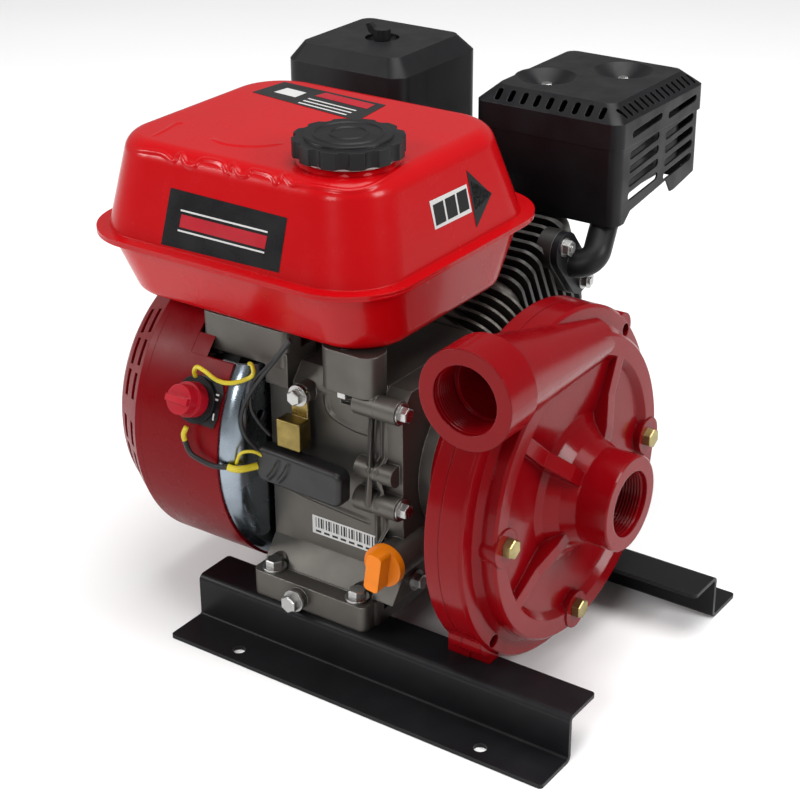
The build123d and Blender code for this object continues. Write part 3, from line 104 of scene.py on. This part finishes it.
def mix(tree, links, factor, a, b):
    """Colour a where factor is 0 and b where it is 1; a and b are colours or sockets."""
    node = tree.new("ShaderNodeMix")
    node.data_type = "RGBA"
    links.new(factor, node.inputs["Factor"])
    for socket, value in ((node.inputs[6], a), (node.inputs[7], b)):
        if isinstance(value, bpy.types.NodeSocket):
            links.new(value, socket)
        else:
            socket.default_value = (*value, 1)
    return node.outputs[2]


def times(colour, k):
    """Colour made lighter or darker."""
    return tuple(min(1.0, c * k) for c in colour)


def finish_surface(tree, links, shader, heights, edge):
    """Bump from several heights over a slightly rounded edge; returns the edge mask."""
    rounded = tree.new("ShaderNodeBevel")
    rounded.samples = 4
    rounded.inputs["Radius"].default_value = edge
    normal = rounded.outputs["Normal"]
    for height, strength, distance in heights:
        bump = tree.new("ShaderNodeBump")
        bump.inputs["Strength"].default_value = strength
        bump.inputs["Distance"].default_value = distance
        links.new(height, bump.inputs["Height"])
        links.new(normal, bump.inputs["Normal"])
        normal = bump.outputs["Normal"]
    links.new(normal, shader.inputs["Normal"])
    flat = tree.new("ShaderNodeNewGeometry")
    dot = tree.new("ShaderNodeVectorMath")
    dot.operation = "DOT_PRODUCT"
    links.new(rounded.outputs["Normal"], dot.inputs[0])
    links.new(flat.outputs["Normal"], dot.inputs[1])
    return spread(tree, links, dot.outputs["Value"], 1, 0, 0.75, 0.985)


def surface(name, colour, rough, metallic=0.0, coat=0.0, patch=(14, 0.12), rough_spread=0.08,
            grain=(900, 0.15, 0.05), waves=None, edge=0.6, edge_wear_and_highlight_colour=None, edge_wear_and_highlight_amount=0.5,
            hollow_shade_and_dirt=None, brushed=None, specular=0.5):
    """Painted, moulded, cast or plated surface with colour patches, uneven gloss, grain and edges; it may
    paint shade into hollows and lighten its edges, a painted highlight that also stands for wear.
    """
    mat, tree, links, shader = graph(name)
    large = noise(tree, links, patch[0], 5)
    tone = mix(tree, links, spread(tree, links, large, 0, 1),
               times(colour, 1 - patch[1]), times(colour, 1 + patch[1]))
    # Hollows found by ambient occlusion are darkened towards a given colour: painted shade, with dust on the
    # bolts and rust on the iron.
    if hollow_shade_and_dirt:
        hollow_colour, hollow_amount = hollow_shade_and_dirt
        hollow = tree.new("ShaderNodeAmbientOcclusion")
        hollow.samples = 4
        hollow.inputs["Distance"].default_value = 12 * MM
        streak = noise(tree, links, 60, 6)
        reach = tree.new("ShaderNodeMath")
        reach.operation = "MULTIPLY"
        links.new(spread(tree, links, hollow.outputs["AO"], hollow_amount, 0, 0.35, 0.95), reach.inputs[0])
        links.new(spread(tree, links, streak, 0.5, 1), reach.inputs[1])
        tone = mix(tree, links, reach.outputs[0], tone, hollow_colour)
    heights = [(noise(tree, links, grain[0], 3), grain[1], grain[2] * MM)]
    if waves:
        heights.append((noise(tree, links, waves[0], 2), waves[1], waves[2] * MM))
    if brushed:
        heights.append((noise(tree, links, brushed[0], 3, stretch=brushed[1]), 0.2, 0.03 * MM))
    mask = finish_surface(tree, links, shader, heights, edge * MM)
    # Rounded edges are lightened in noisy patches: painted highlight on the edges, partly edge wear.
    if edge_wear_and_highlight_colour:
        edge_wear_and_highlight = tree.new("ShaderNodeMath")
        edge_wear_and_highlight.operation = "MULTIPLY"
        links.new(mask, edge_wear_and_highlight.inputs[0])
        links.new(spread(tree, links, noise(tree, links, 120, 5), 0.15, edge_wear_and_highlight_amount), edge_wear_and_highlight.inputs[1])
        tone = mix(tree, links, edge_wear_and_highlight.outputs[0], tone, edge_wear_and_highlight_colour)
    links.new(tone, shader.inputs["Base Color"])
    gloss = spread(tree, links, noise(tree, links, 45, 6), rough - rough_spread, rough + rough_spread)
    links.new(gloss, shader.inputs["Roughness"])
    shader.inputs["Metallic"].default_value = metallic
    shader.inputs["Coat Weight"].default_value = coat
    shader.inputs["Coat Roughness"].default_value = 0.06
    shader.inputs["Specular IOR Level"].default_value = specular
    return mat


RED, DEEP_RED, CAST_RED = (0.38, 0.001, 0.003), (0.145, 0.001, 0.003), (0.17, 0.001, 0.003)
# Colour laid into the bolts' hollows: dust, and painted shade where it darkens them.
DUST_AND_SHADE = (0.10, 0.085, 0.07)

# In these looks the colour laid into hollows is painted shade (a darker copy of the base colour; dust on the
# bolts and rust on the iron are partly real), and the lighter edge colour is a painted highlight on the edges
# that also stands for wear.
looks = {
    "rail_black": surface("satin_black_rail", (0.006, 0.006, 0.007), 0.38, specular=0.2, patch=(9, 0.2),
                          grain=(700, 0.25, 0.05), edge_wear_and_highlight_colour=(0.10, 0.10, 0.10), edge_wear_and_highlight_amount=0.6),
    "tank_red": surface("gloss_red_tank", RED, 0.25, coat=0.12, specular=0.15, patch=(5, 0.05),
                        rough_spread=0.04, grain=(1500, 0.04, 0.02), waves=(22, 0.06, 0.6), edge=1.2),
    "housing_red": surface("red_drum_paint", DEEP_RED, 0.30, specular=0.08, patch=(7, 0.08),
                           grain=(1100, 0.08, 0.03), waves=(30, 0.08, 0.5), edge=0.8),
    "pump_red": surface("red_cast_enamel", CAST_RED, 0.20, coat=0.1, specular=0.1, patch=(8, 0.10),
                        rough_spread=0.06, grain=(260, 0.35, 0.20), waves=(70, 0.35, 0.5), edge=1.6,
                        hollow_shade_and_dirt=((0.06, 0.0, 0.002), 0.5)),
    "case_aluminium": surface("cast_aluminium", (0.095, 0.088, 0.078), 0.42, metallic=0.7, patch=(16, 0.15),
                              grain=(650, 0.45, 0.10), waves=(90, 0.2, 0.3), edge=1.2,
                              edge_wear_and_highlight_colour=(0.38, 0.37, 0.35), edge_wear_and_highlight_amount=0.7,
                              hollow_shade_and_dirt=((0.035, 0.03, 0.026), 0.8)),
    "head_aluminium": surface("dark_cast_head", (0.040, 0.038, 0.036), 0.48, metallic=0.6, patch=(18, 0.2),
                              grain=(600, 0.5, 0.12), edge=0.9, edge_wear_and_highlight_colour=(0.20, 0.195, 0.185),
                              edge_wear_and_highlight_amount=0.9, hollow_shade_and_dirt=((0.02, 0.018, 0.016), 0.8)),
    "zinc_sheet": surface("bright_zinc", (0.24, 0.28, 0.32), 0.26, metallic=1.0, patch=(28, 0.18),
                          rough_spread=0.12, grain=(900, 0.12, 0.04), waves=(35, 0.25, 0.8)),
    "bolt_steel": surface("zinc_bolt", (0.42, 0.42, 0.41), 0.30, metallic=1.0, patch=(60, 0.15),
                          grain=(1800, 0.2, 0.03), edge=0.5, edge_wear_and_highlight_colour=(0.85, 0.85, 0.84), edge_wear_and_highlight_amount=0.7,
                          hollow_shade_and_dirt=(DUST_AND_SHADE, 0.5)),
    "yellow_zinc": surface("yellow_zinc_bolt", (0.30, 0.245, 0.10), 0.34, metallic=0.9, patch=(90, 0.35),
                           grain=(1600, 0.2, 0.03), edge=0.5, edge_wear_and_highlight_colour=(0.75, 0.66, 0.42),
                           hollow_shade_and_dirt=(DUST_AND_SHADE, 0.5)),
    "bearing_steel": surface("ground_steel", (0.60, 0.60, 0.62), 0.22, metallic=1.0, patch=(40, 0.08),
                             edge=0.4, brushed=(900, (1, 30, 1))),
    "shield_black": surface("stamped_black_shield", (0.006, 0.006, 0.007), 0.40, specular=0.2,
                            patch=(12, 0.25), rough_spread=0.10, grain=(1200, 0.12, 0.03),
                            waves=(26, 0.05, 0.6), edge=0.9, edge_wear_and_highlight_colour=(0.09, 0.09, 0.095)),
    "black_plastic": surface("black_plastic", (0.007, 0.007, 0.008), 0.42, specular=0.2, patch=(20, 0.2),
                             grain=(1400, 0.25, 0.05), edge=0.9, edge_wear_and_highlight_colour=(0.06, 0.06, 0.065)),
    "red_plastic": surface("red_knob", (0.33, 0.003, 0.012), 0.36, specular=0.35, patch=(40, 0.1),
                           grain=(1500, 0.15, 0.04), edge=0.8),
    "orange_plastic": surface("orange_plug", (0.66, 0.17, 0.002), 0.36, specular=0.25, patch=(60, 0.08),
                              grain=(1500, 0.15, 0.04), edge=0.8, hollow_shade_and_dirt=((0.25, 0.07, 0.01), 0.6)),
    "chrome_ring": surface("plated_ring", (0.30, 0.27, 0.26), 0.3, metallic=1.0, patch=(60, 0.06), edge=0.5),
    "brass_block": surface("dull_brass", (0.22, 0.165, 0.055), 0.34, metallic=1.0, patch=(80, 0.25),
                           rough_spread=0.12, grain=(900, 0.3, 0.05), edge=0.8,
                           edge_wear_and_highlight_colour=(0.75, 0.62, 0.34), edge_wear_and_highlight_amount=0.8),
    "black_rubber": surface("black_sleeve", (0.008, 0.008, 0.009), 0.42, specular=0.4, patch=(50, 0.3),
                            grain=(1300, 0.3, 0.06), waves=(160, 0.3, 0.3), edge=0.8),
    "lead_insulation": surface("yellow_insulation", (0.52, 0.42, 0.01), 0.42, patch=(120, 0.15),
                               grain=(1500, 0.15, 0.03)),
    "iron": surface("machined_iron", (0.16, 0.155, 0.15), 0.45, metallic=0.9, patch=(30, 0.2),
                    grain=(500, 0.4, 0.08), hollow_shade_and_dirt=((0.09, 0.045, 0.02), 0.4)),
    "steel_shaft": surface("turned_steel", (0.48, 0.48, 0.49), 0.28, metallic=1.0, patch=(30, 0.1),
                           brushed=(1200, (30, 1, 1))),
    "filter_paper": surface("pleated_paper", (0.72, 0.62, 0.42), 0.85, patch=(60, 0.1),
                            grain=(900, 0.6, 0.1)),
    "rope_cord": surface("starter_rope", (0.62, 0.62, 0.58), 0.8, patch=(300, 0.3), grain=(1800, 0.8, 0.2)),
    "plug_porcelain": surface("plug_porcelain", (0.80, 0.79, 0.74), 0.2, coat=0.5, patch=(80, 0.05)),
    "sticker": surface("printed_film", (0.005, 0.005, 0.006), 0.28, specular=0.3, patch=(30, 0.15),
                       grain=(1600, 0.06, 0.02)),
    "print_white": surface("white_print", (0.50, 0.50, 0.49), 0.4, patch=(40, 0.06),
                           grain=(1600, 0.06, 0.02)),
    # Near-black inside of the bores: painted shade.
    "inside_dark": surface("shaded_bore", (0.03, 0.012, 0.012), 0.5, patch=(80, 0.4), grain=(500, 0.4, 0.1)),
}

for part in frame["record"]["subparts"]:
    obj = nodes[part["node"]]
    obj.data.materials.clear()
    obj.data.materials.append(looks[part["material_slot"]])


# ---- pieces ----
def piece(name, mesh, slot, body="pump_set"):
    """Mesh made into a piece that rides on a body and takes a slot's look."""
    obj = bpy.data.objects.new(name, mesh)
    bpy.context.scene.collection.objects.link(obj)
    mesh.materials.append(looks[slot])
    for face in mesh.polygons:
        face.use_smooth = True
    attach(obj, body)
    return obj


def from_grid(name, rows, closed=False):
    """Mesh from rows of points; closed joins each row's ends."""
    mesh = bpy.data.meshes.new(name)
    count = len(rows[0])
    points = [p for row in rows for p in row]
    faces = []
    for i in range(len(rows) - 1):
        for j in range(count if closed else count - 1):
            k = (j + 1) % count
            faces.append((i * count + j, i * count + k, (i + 1) * count + k, (i + 1) * count + j))
    mesh.from_pydata(points, [], faces)
    return mesh


def thread(name, mouth, inward, across_a, across_b, radius, depth, pitch=2.3 * MM, height=1.1 * MM):
    """Helical thread standing in from the wall of a bore."""
    steps = 64
    turns = depth / pitch - 1.5
    profile = ((0.0, 0.0), (0.42, 1.0), (0.58, 1.0), (1.0, 0.0))
    rows = []
    for i in range(int(turns * steps) + 1):
        angle = 2 * math.pi * i / steps
        fade = min(1.0, i / steps, (turns * steps - i) / steps + 0.05)
        out = across_a * math.cos(angle) + across_b * math.sin(angle)
        base = mouth + inward * (1.2 * MM + pitch * i / steps)
        rows.append([base + inward * (pitch * t) + out * (radius - 0.02 * MM - height * h * fade)
                     for t, h in profile])
    piece(name, from_grid(name, rows), "pump_red")


ports = {m["name"]: m for m in frame["record"]["mounts"]}
for label, side_a in (("suction_port", (0, 1, 0)), ("discharge_port", (1, 0, 0))):
    port = ports[label]
    thread(label + "_thread", Vector(port["pos_m"]), -Vector(port["axis"]), Vector(side_a), Vector((0, 0, 1)),
           port["dims"]["r_mm"] * MM, port["dims"]["length_mm"] * MM)


# ---- thin films, pressed beads and leads laid on the CAD surfaces ----
trees = {}


def cast(on, point, facing):
    """Where a line from outside, against the facing direction, meets a CAD node: place and normal."""
    if on not in trees:
        trees[on] = BVHTree.FromObject(nodes[on], bpy.context.evaluated_depsgraph_get())
    facing = Vector(facing).normalized()
    hit, normal, _, _ = trees[on].ray_cast(Vector(point) + facing * 0.08, -facing)
    if hit is None:
        return Vector(point), facing
    return hit, normal if normal.dot(facing) > 0 else -normal


def films(name, on, origin, facing, along, patches, slot, lift=0.2, cells=(16, 8)):
    """Thin printed films in one piece; a patch is four corners (a, b) in mm from the origin."""
    facing, along = Vector(facing).normalized(), Vector(along).normalized()
    along = (along - facing * along.dot(facing)).normalized()
    upward = facing.cross(along)
    points, faces = [], []
    for corners in patches:
        first = len(points)
        low_a, low_b, high_b, high_a = (Vector(corner) for corner in corners)
        for i in range(cells[1] + 1):
            left = low_a.lerp(high_a, i / cells[1])
            right_end = low_b.lerp(high_b, i / cells[1])
            for j in range(cells[0] + 1):
                a_mm, b_mm = left.lerp(right_end, j / cells[0])
                hit, normal = cast(on, Vector(origin) + (along * a_mm + upward * b_mm) * MM, facing)
                points.append(hit + normal * lift * MM)
        for i in range(cells[1]):
            for j in range(cells[0]):
                k = first + i * (cells[0] + 1) + j
                faces.append((k, k + 1, k + cells[0] + 2, k + cells[0] + 1))
    mesh = bpy.data.meshes.new(name)
    mesh.from_pydata(points, [], faces)
    return piece(name, mesh, slot)


def box_patch(a0, a1, b0, b1):
    """Corners of an upright rectangle."""
    return ((a0, b0), (a1, b0), (a1, b1), (a0, b1))


def smooth_path(points, steps):
    """Points on a smooth curve through the given points."""
    points = [Vector(p) for p in points]
    out = []
    for i in range(len(points) - 1):
        p0, p1, p2, p3 = points[max(i - 1, 0)], points[i], points[i + 1], points[min(i + 2, len(points) - 1)]
        for k in range(steps):
            t = k / steps
            out.append(0.5 * (2 * p1 + (p2 - p0) * t + (2 * p0 - 5 * p1 + 4 * p2 - p3) * t * t
                              + (3 * p1 - p0 - 3 * p2 + p3) * t * t * t))
    return out + [points[-1]]


def bead(name, on, path, facing, width, height, slot, body="pump_set"):
    """Pressed or cast bead that follows a path over a CAD surface and dies away at its ends."""
    track = [cast(on, Vector(p) * MM, facing) for p in smooth_path(path, 6)]
    rows = []
    for i, (hit, normal) in enumerate(track):
        ahead = track[min(i + 1, len(track) - 1)][0] - track[max(i - 1, 0)][0]
        side = ahead.cross(normal).normalized()
        fade = math.sin(math.pi * min(0.5, min(i, len(track) - 1 - i) / 8))
        row = []
        for j in range(-5, 6):
            place, up_here = cast(on, hit + side * (width * j / 10) * MM, normal)
            lift = height * fade * (0.5 + 0.5 * math.cos(math.pi * j / 5)) - 0.03
            row.append(place + up_here * lift * MM)
        rows.append(row)
    return piece(name, from_grid(name, rows), slot, body)


def tube(name, path, radius, slot):
    """Round lead along a smooth path, in mm."""
    track = [p * MM for p in smooth_path(path, 8)]
    rows = []
    side = Vector((0, 0, 1))
    for i, p in enumerate(track):
        ahead = (track[min(i + 1, len(track) - 1)] - track[max(i - 1, 0)]).normalized()
        side = (side - ahead * side.dot(ahead)).normalized()
        other = ahead.cross(side)
        rows.append([p + (side * math.cos(t) + other * math.sin(t)) * radius * MM
                     for t in (2 * math.pi * k / 14 for k in range(14))])
    mesh = from_grid(name, rows, closed=True)
    shape = bmesh.new()
    shape.from_mesh(mesh)
    bmesh.ops.holes_fill(shape, edges=shape.edges, sides=14)
    shape.to_mesh(mesh)
    shape.free()
    return piece(name, mesh, slot)


FRONT_RIGHT = (0.52, -0.73, 0.44)
TANK_TOP = 365

# beads pressed into the tank's top: one stepped line along the front and right edges, a hook and a short line
step_line = [(-212, -103), (-185, -98), (-169, -105), (-172, -92), (-157, -105), (-150, -105), (-151, -93),
             (-135, -92), (-120, -105), (-127, -90), (-112, -102), (-106, -100), (-108, -92), (-91, -93),
             (-80, -102), (-84, -88), (-70, -98), (-64, -96), (-45, -93), (-29, -88), (-22, -73),
             (-24, -47), (-29, -20)]
hook_line = [(-174, -56), (-160, -60), (-146, -58), (-132, -49), (-124, -36)]
left_line = [(-213, -40), (-217, -44), (-214, -57), (-211, -77)]
for name, line, width, height in (("step_bead", step_line, 6.0, 1.0), ("hook_bead", hook_line, 6.5, 0.9),
                                  ("left_bead", left_line, 6.0, 0.8)):
    points = [(x, y, TANK_TOP) for x, y in line]
    bead(name, "tank_upper_shell", points, FRONT_RIGHT, width, height, "tank_red")

# plain labels on the tank: no words, no pictures
TANK_FRONT, TANK_RIGHT = (-128, -99, 320), (-11, 5, 328)
front_at = Vector(TANK_FRONT) * MM
films("front_label", "tank_upper_shell", front_at, (0, -1, 0), (1, 0, 0),
      [((-53, -20), (52, -18), (54, 19), (-49, 20))], "sticker")
films("front_label_bar", "tank_upper_shell", front_at, (0, -1, 0), (1, 0, 0),
      [((-38, -5), (38, -5), (39, 4), (-37, 4))], "red_plastic", FILM_LIFT)
films("front_label_lines", "tank_upper_shell", front_at, (0, -1, 0), (1, 0, 0),
      [((-38, 6), (39, 6), (39, 7.2), (-38, 7.2)),
       ((-39, -8), (38, -8), (38, -6.8), (-39, -6.8))], "print_white", FILM_LIFT)
right_at = Vector(TANK_RIGHT) * MM
films("side_label", "tank_upper_shell", right_at, (1, 0, 0), (0, 1, 0),
      [((-23, -9), (23, -10), (22, 10), (-24, 11))], "print_white")
films("side_label_squares", "tank_upper_shell", right_at, (1, 0, 0), (0, 1, 0),
      [box_patch(-21 + 14.6 * i, -8.5 + 14.6 * i, -7, 7.5) for i in range(3)], "sticker", FILM_LIFT)
films("side_label_arrow", "tank_upper_shell", right_at, (1, 0, 0), (0, 1, 0),
      [((25, -22), (27, -10), (27, 11), (25, 19)), ((27, -10), (50, -5), (50, -4), (27, 11)),
       ((25, -22), (50, -5), (27, 2), (27, -10)), ((27, 11), (27, 2), (50, -5), (25, 19))], "sticker", 0.34)
top_at = Vector((-166, 60, TANK_TOP)) * MM
films("top_label", "tank_upper_shell", top_at, (0, 0, 1), (1, 0, 0),
      [((-54, -13), (55, -27), (50, 16), (-50, 22))], "sticker")
films("top_label_bar", "tank_upper_shell", top_at, (0, 0, 1), (1, 0, 0),
      [((-8, 5), (44, 0), (43, 12), (-6, 16))], "red_plastic", FILM_LIFT)
films("top_label_lines", "tank_upper_shell", top_at, (0, 0, 1), (1, 0, 0),
      [((-8, -4 - 6 * i), (40, -9 - 6 * i), (40, -7 - 6 * i), (-8, -2 - 6 * i)) for i in range(3)]
      + [((-40, -4), (-18, -6), (-18, 8), (-38, 10))], "print_white", FILM_LIFT)

# plain code label and cast lines on the engine's front
case_at = Vector((-46, -91, 94)) * MM
films("code_label", "crankcase", case_at, (0, -1, 0), (1, 0, 0),
      [box_patch(-31, 30, -7.5, 7.5)], "print_white")
films("code_label_bars", "crankcase", case_at, (0, -1, 0), (1, 0, 0),
      [box_patch(-28 + 2.3 * i, -28 + 2.3 * i + 0.6 + 0.5 * (i * 7 % 3), -2, 6) for i in range(24)]
      + [box_patch(-28 + 7.5 * i, -23 + 7.5 * i, -6, -4.2) for i in range(7)], "sticker", 0.3, (2, 2))
for name, on, line, width, height in (
        ("case_flange", "crankcase",
         [(-18, -91, 62), (-18, -91, 74), (-18, -84, 95), (-18, -80, 150), (-18, -80, 196)], 6, 2.2),
        ("cover_flange", "side_cover",
         [(-11, -85, 74), (-11, -80, 95), (-11, -78, 150), (-11, -78, 196)], 5, 1.6),
        ("case_rib_low", "crankcase",
         [(-104, -80, 120), (-80, -80, 116), (-40, -80, 113), (-24, -80, 112)], 6, 1.8),
        ("case_rib_high", "crankcase",
         [(-62, -80, 204), (-58, -80, 190), (-40, -80, 184), (-24, -80, 183)], 6, 2.0)):
    bead(name, on, line, (0, -1, 0.15), width, height, "case_aluminium")

# switch plate: a flat that reaches to the right of the knob, with three plain marks
switch_at, switch_facing = Vector((-143, -113, 188.7)) * MM, (0, -0.927, 0.375)
films("switch_flat", "fan_housing", switch_at, switch_facing, (1, 0, 0),
      [((-10, -17), (9, -17), (12, -9), (-10, -9)), ((-10, -9), (12, -9), (13, 9), (-10, 9)),
       ((-10, 9), (13, 9), (9, 18), (-10, 18))], "sticker", 1.2)
films("switch_marks", "fan_housing", switch_at, switch_facing, (1, 0, 0),
      [box_patch(6.5, 9.5, 3.5, 4.8), box_patch(6.5, 9.5, 7, 8.3), box_patch(7.3, 8.6, -11, -6)],
      "print_white", 1.35, (2, 2))

# folds in the sleeve, rings on the cap, lip of the drum beside the tank post
for i, shift in enumerate((0, 9)):
    fold = [(x + shift, -104, z) for x, z in ((-96, 137), (-89, 145), (-84, 156))]
    bead(f"sleeve_fold_{i}", "lead_sleeve", fold, (0, -1, 0), 6, 2.2, "black_rubber")
for name, radius in (("cap_ring_outer", 24), ("cap_ring_inner", 13)):
    ring = [(CAP_X + radius * math.cos(math.radians(a)), CAP_Y + radius * math.sin(math.radians(a)), CAP_TOP)
            for a in range(0, 400, 20)]
    bead(name, "fuel_cap", ring, (0, 0, 1), 3, 0.9, "black_plastic", "tank_cap")
lip = [[Vector((x, -DRUM_R * math.cos(math.radians(a)), SHAFT_Z + DRUM_R * math.sin(math.radians(a)))) * MM
        for a in range(35, 46)] for x in (-172, -166, -160, -155)]
piece("drum_lip", from_grid("drum_lip", lip), "housing_red")

# leads
leads = [tube("switch_lead_top", [(-153, -123.5, 171), (-155, -125, 165), (-154, -125, 160)],
              1.9, "lead_insulation"),
         tube("switch_lead", [(-154, -125, 160), (-150, -125, 152), (-143, -124.5, 148.5),
                              (-130, -122.5, 145.5), (-120, -117, 145)], 2.0, "black_rubber"),
         tube("switch_terminal", [(-121, -117.5, 145), (-113, -114, 144), (-104, -99, 144)],
              2.6, "lead_insulation"),
         tube("terminal_loop", [(-117, -113, 147), (-113, -112, 156), (-106, -108, 158), (-101, -103, 154),
                                (-103, -101, 149)], 1.2, "lead_insulation"),
         tube("ground_lead", [(-152, -112, 207), (-150, -115, 213), (-145, -117, 218), (-137, -118, 217),
                              (-129, -115, 211), (-121, -110, 209), (-113, -102, 211), (-109, -99, 215),
                              (-113, -95, 219), (-118, -92, 218)], 1.6, "lead_insulation")]
for obj in leads:
    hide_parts("switch_leads")
sensor = [tube("sensor_lead_main", [(-82, -89, 243.6), (-90, -97, 230), (-104, -101, 210), (-113, -105, 193),
                                    (-115.5, -107, 178), (-112, -105, 165), (-105, -100, 155),
                                    (-100, -98, 151)], 1.5, "black_rubber"),
          tube("sensor_lead_second", [(-84, -87, 243.6), (-97, -96, 224), (-109, -100, 208),
                                      (-111, -101, 190), (-106, -99, 178), (-98, -96, 168)],
               1.3, "black_rubber")]
for obj in sensor:
    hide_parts("sensor_lead")


# ---- studio: camera, floor and soft lights ----
AZIMUTH, ELEVATION, ROLL = math.radians(35.43), math.radians(26.07), math.radians(-0.576)
back = Vector((math.sin(AZIMUTH) * math.cos(ELEVATION), -math.cos(AZIMUTH) * math.cos(ELEVATION),
               math.sin(ELEVATION)))
right = (-back).cross(Vector((0, 0, 1))).normalized()
up = right.cross(-back)
right, up = (right * math.cos(ROLL) + up * math.sin(ROLL), -right * math.sin(ROLL) + up * math.cos(ROLL))
camera = bpy.data.objects.new("camera", bpy.data.cameras.new("camera"))
bpy.context.scene.collection.objects.link(camera)
camera_at = Matrix.Translation((0.66026, -1.01653, 0.77661))
camera.matrix_world = camera_at @ Matrix((right, up, back)).transposed().to_4x4()
camera.data.sensor_width = 36
camera.data.lens = 84.07
camera.data.shift_x = 0.0151
camera.data.shift_y = 0.0013
bpy.context.scene.camera = camera

floor_mesh = bpy.data.meshes.new("floor")
half = 6
corners = [(-half, -half, 0), (half, -half, 0), (half, half, 0), (-half, half, 0)]
floor_mesh.from_pydata(corners, [], [(0, 1, 2, 3)])
floor = bpy.data.objects.new("floor", floor_mesh)
bpy.context.scene.collection.objects.link(floor)
floor_look, tree, links, shader = graph("pale_floor")
tone = mix(tree, links, noise(tree, links, 3, 3), (0.86, 0.86, 0.86), (0.90, 0.90, 0.90))
links.new(tone, shader.inputs["Base Color"])
shader.inputs["Roughness"].default_value = 0.7
floor_mesh.materials.append(floor_look)
floor.location.z = cad_box[0][2] - 0.0002

world = bpy.data.worlds.new("studio")
world.use_nodes = True
world.node_tree.nodes["Background"].inputs["Color"].default_value = (1, 1, 1, 1)
world.node_tree.nodes["Background"].inputs["Strength"].default_value = 0.30
bpy.context.scene.world = world


def softbox(name, place, target, size, power):
    """Square area light aimed at a point."""
    lamp = bpy.data.lights.new(name, "AREA")
    lamp.size = size
    lamp.energy = power
    obj = bpy.data.objects.new(name, lamp)
    obj.location = place
    obj.rotation_euler = (Vector(target) - Vector(place)).to_track_quat("-Z", "Y").to_euler()
    bpy.context.scene.collection.objects.link(obj)


middle = (0, 0, 0.2)
softbox("top_box", (0.2, 0.3, 3.0), middle, 2.4, 95)
softbox("left_box", (-1.9, -1.3, 1.3), middle, 0.7, 30)
softbox("right_box", (1.9, 0.3, 1.3), middle, 0.7, 26)
softbox("front_box", (0.4, -2.4, 1.5), middle, 0.7, 22)
bpy.context.scene.view_settings.view_transform = "Standard"
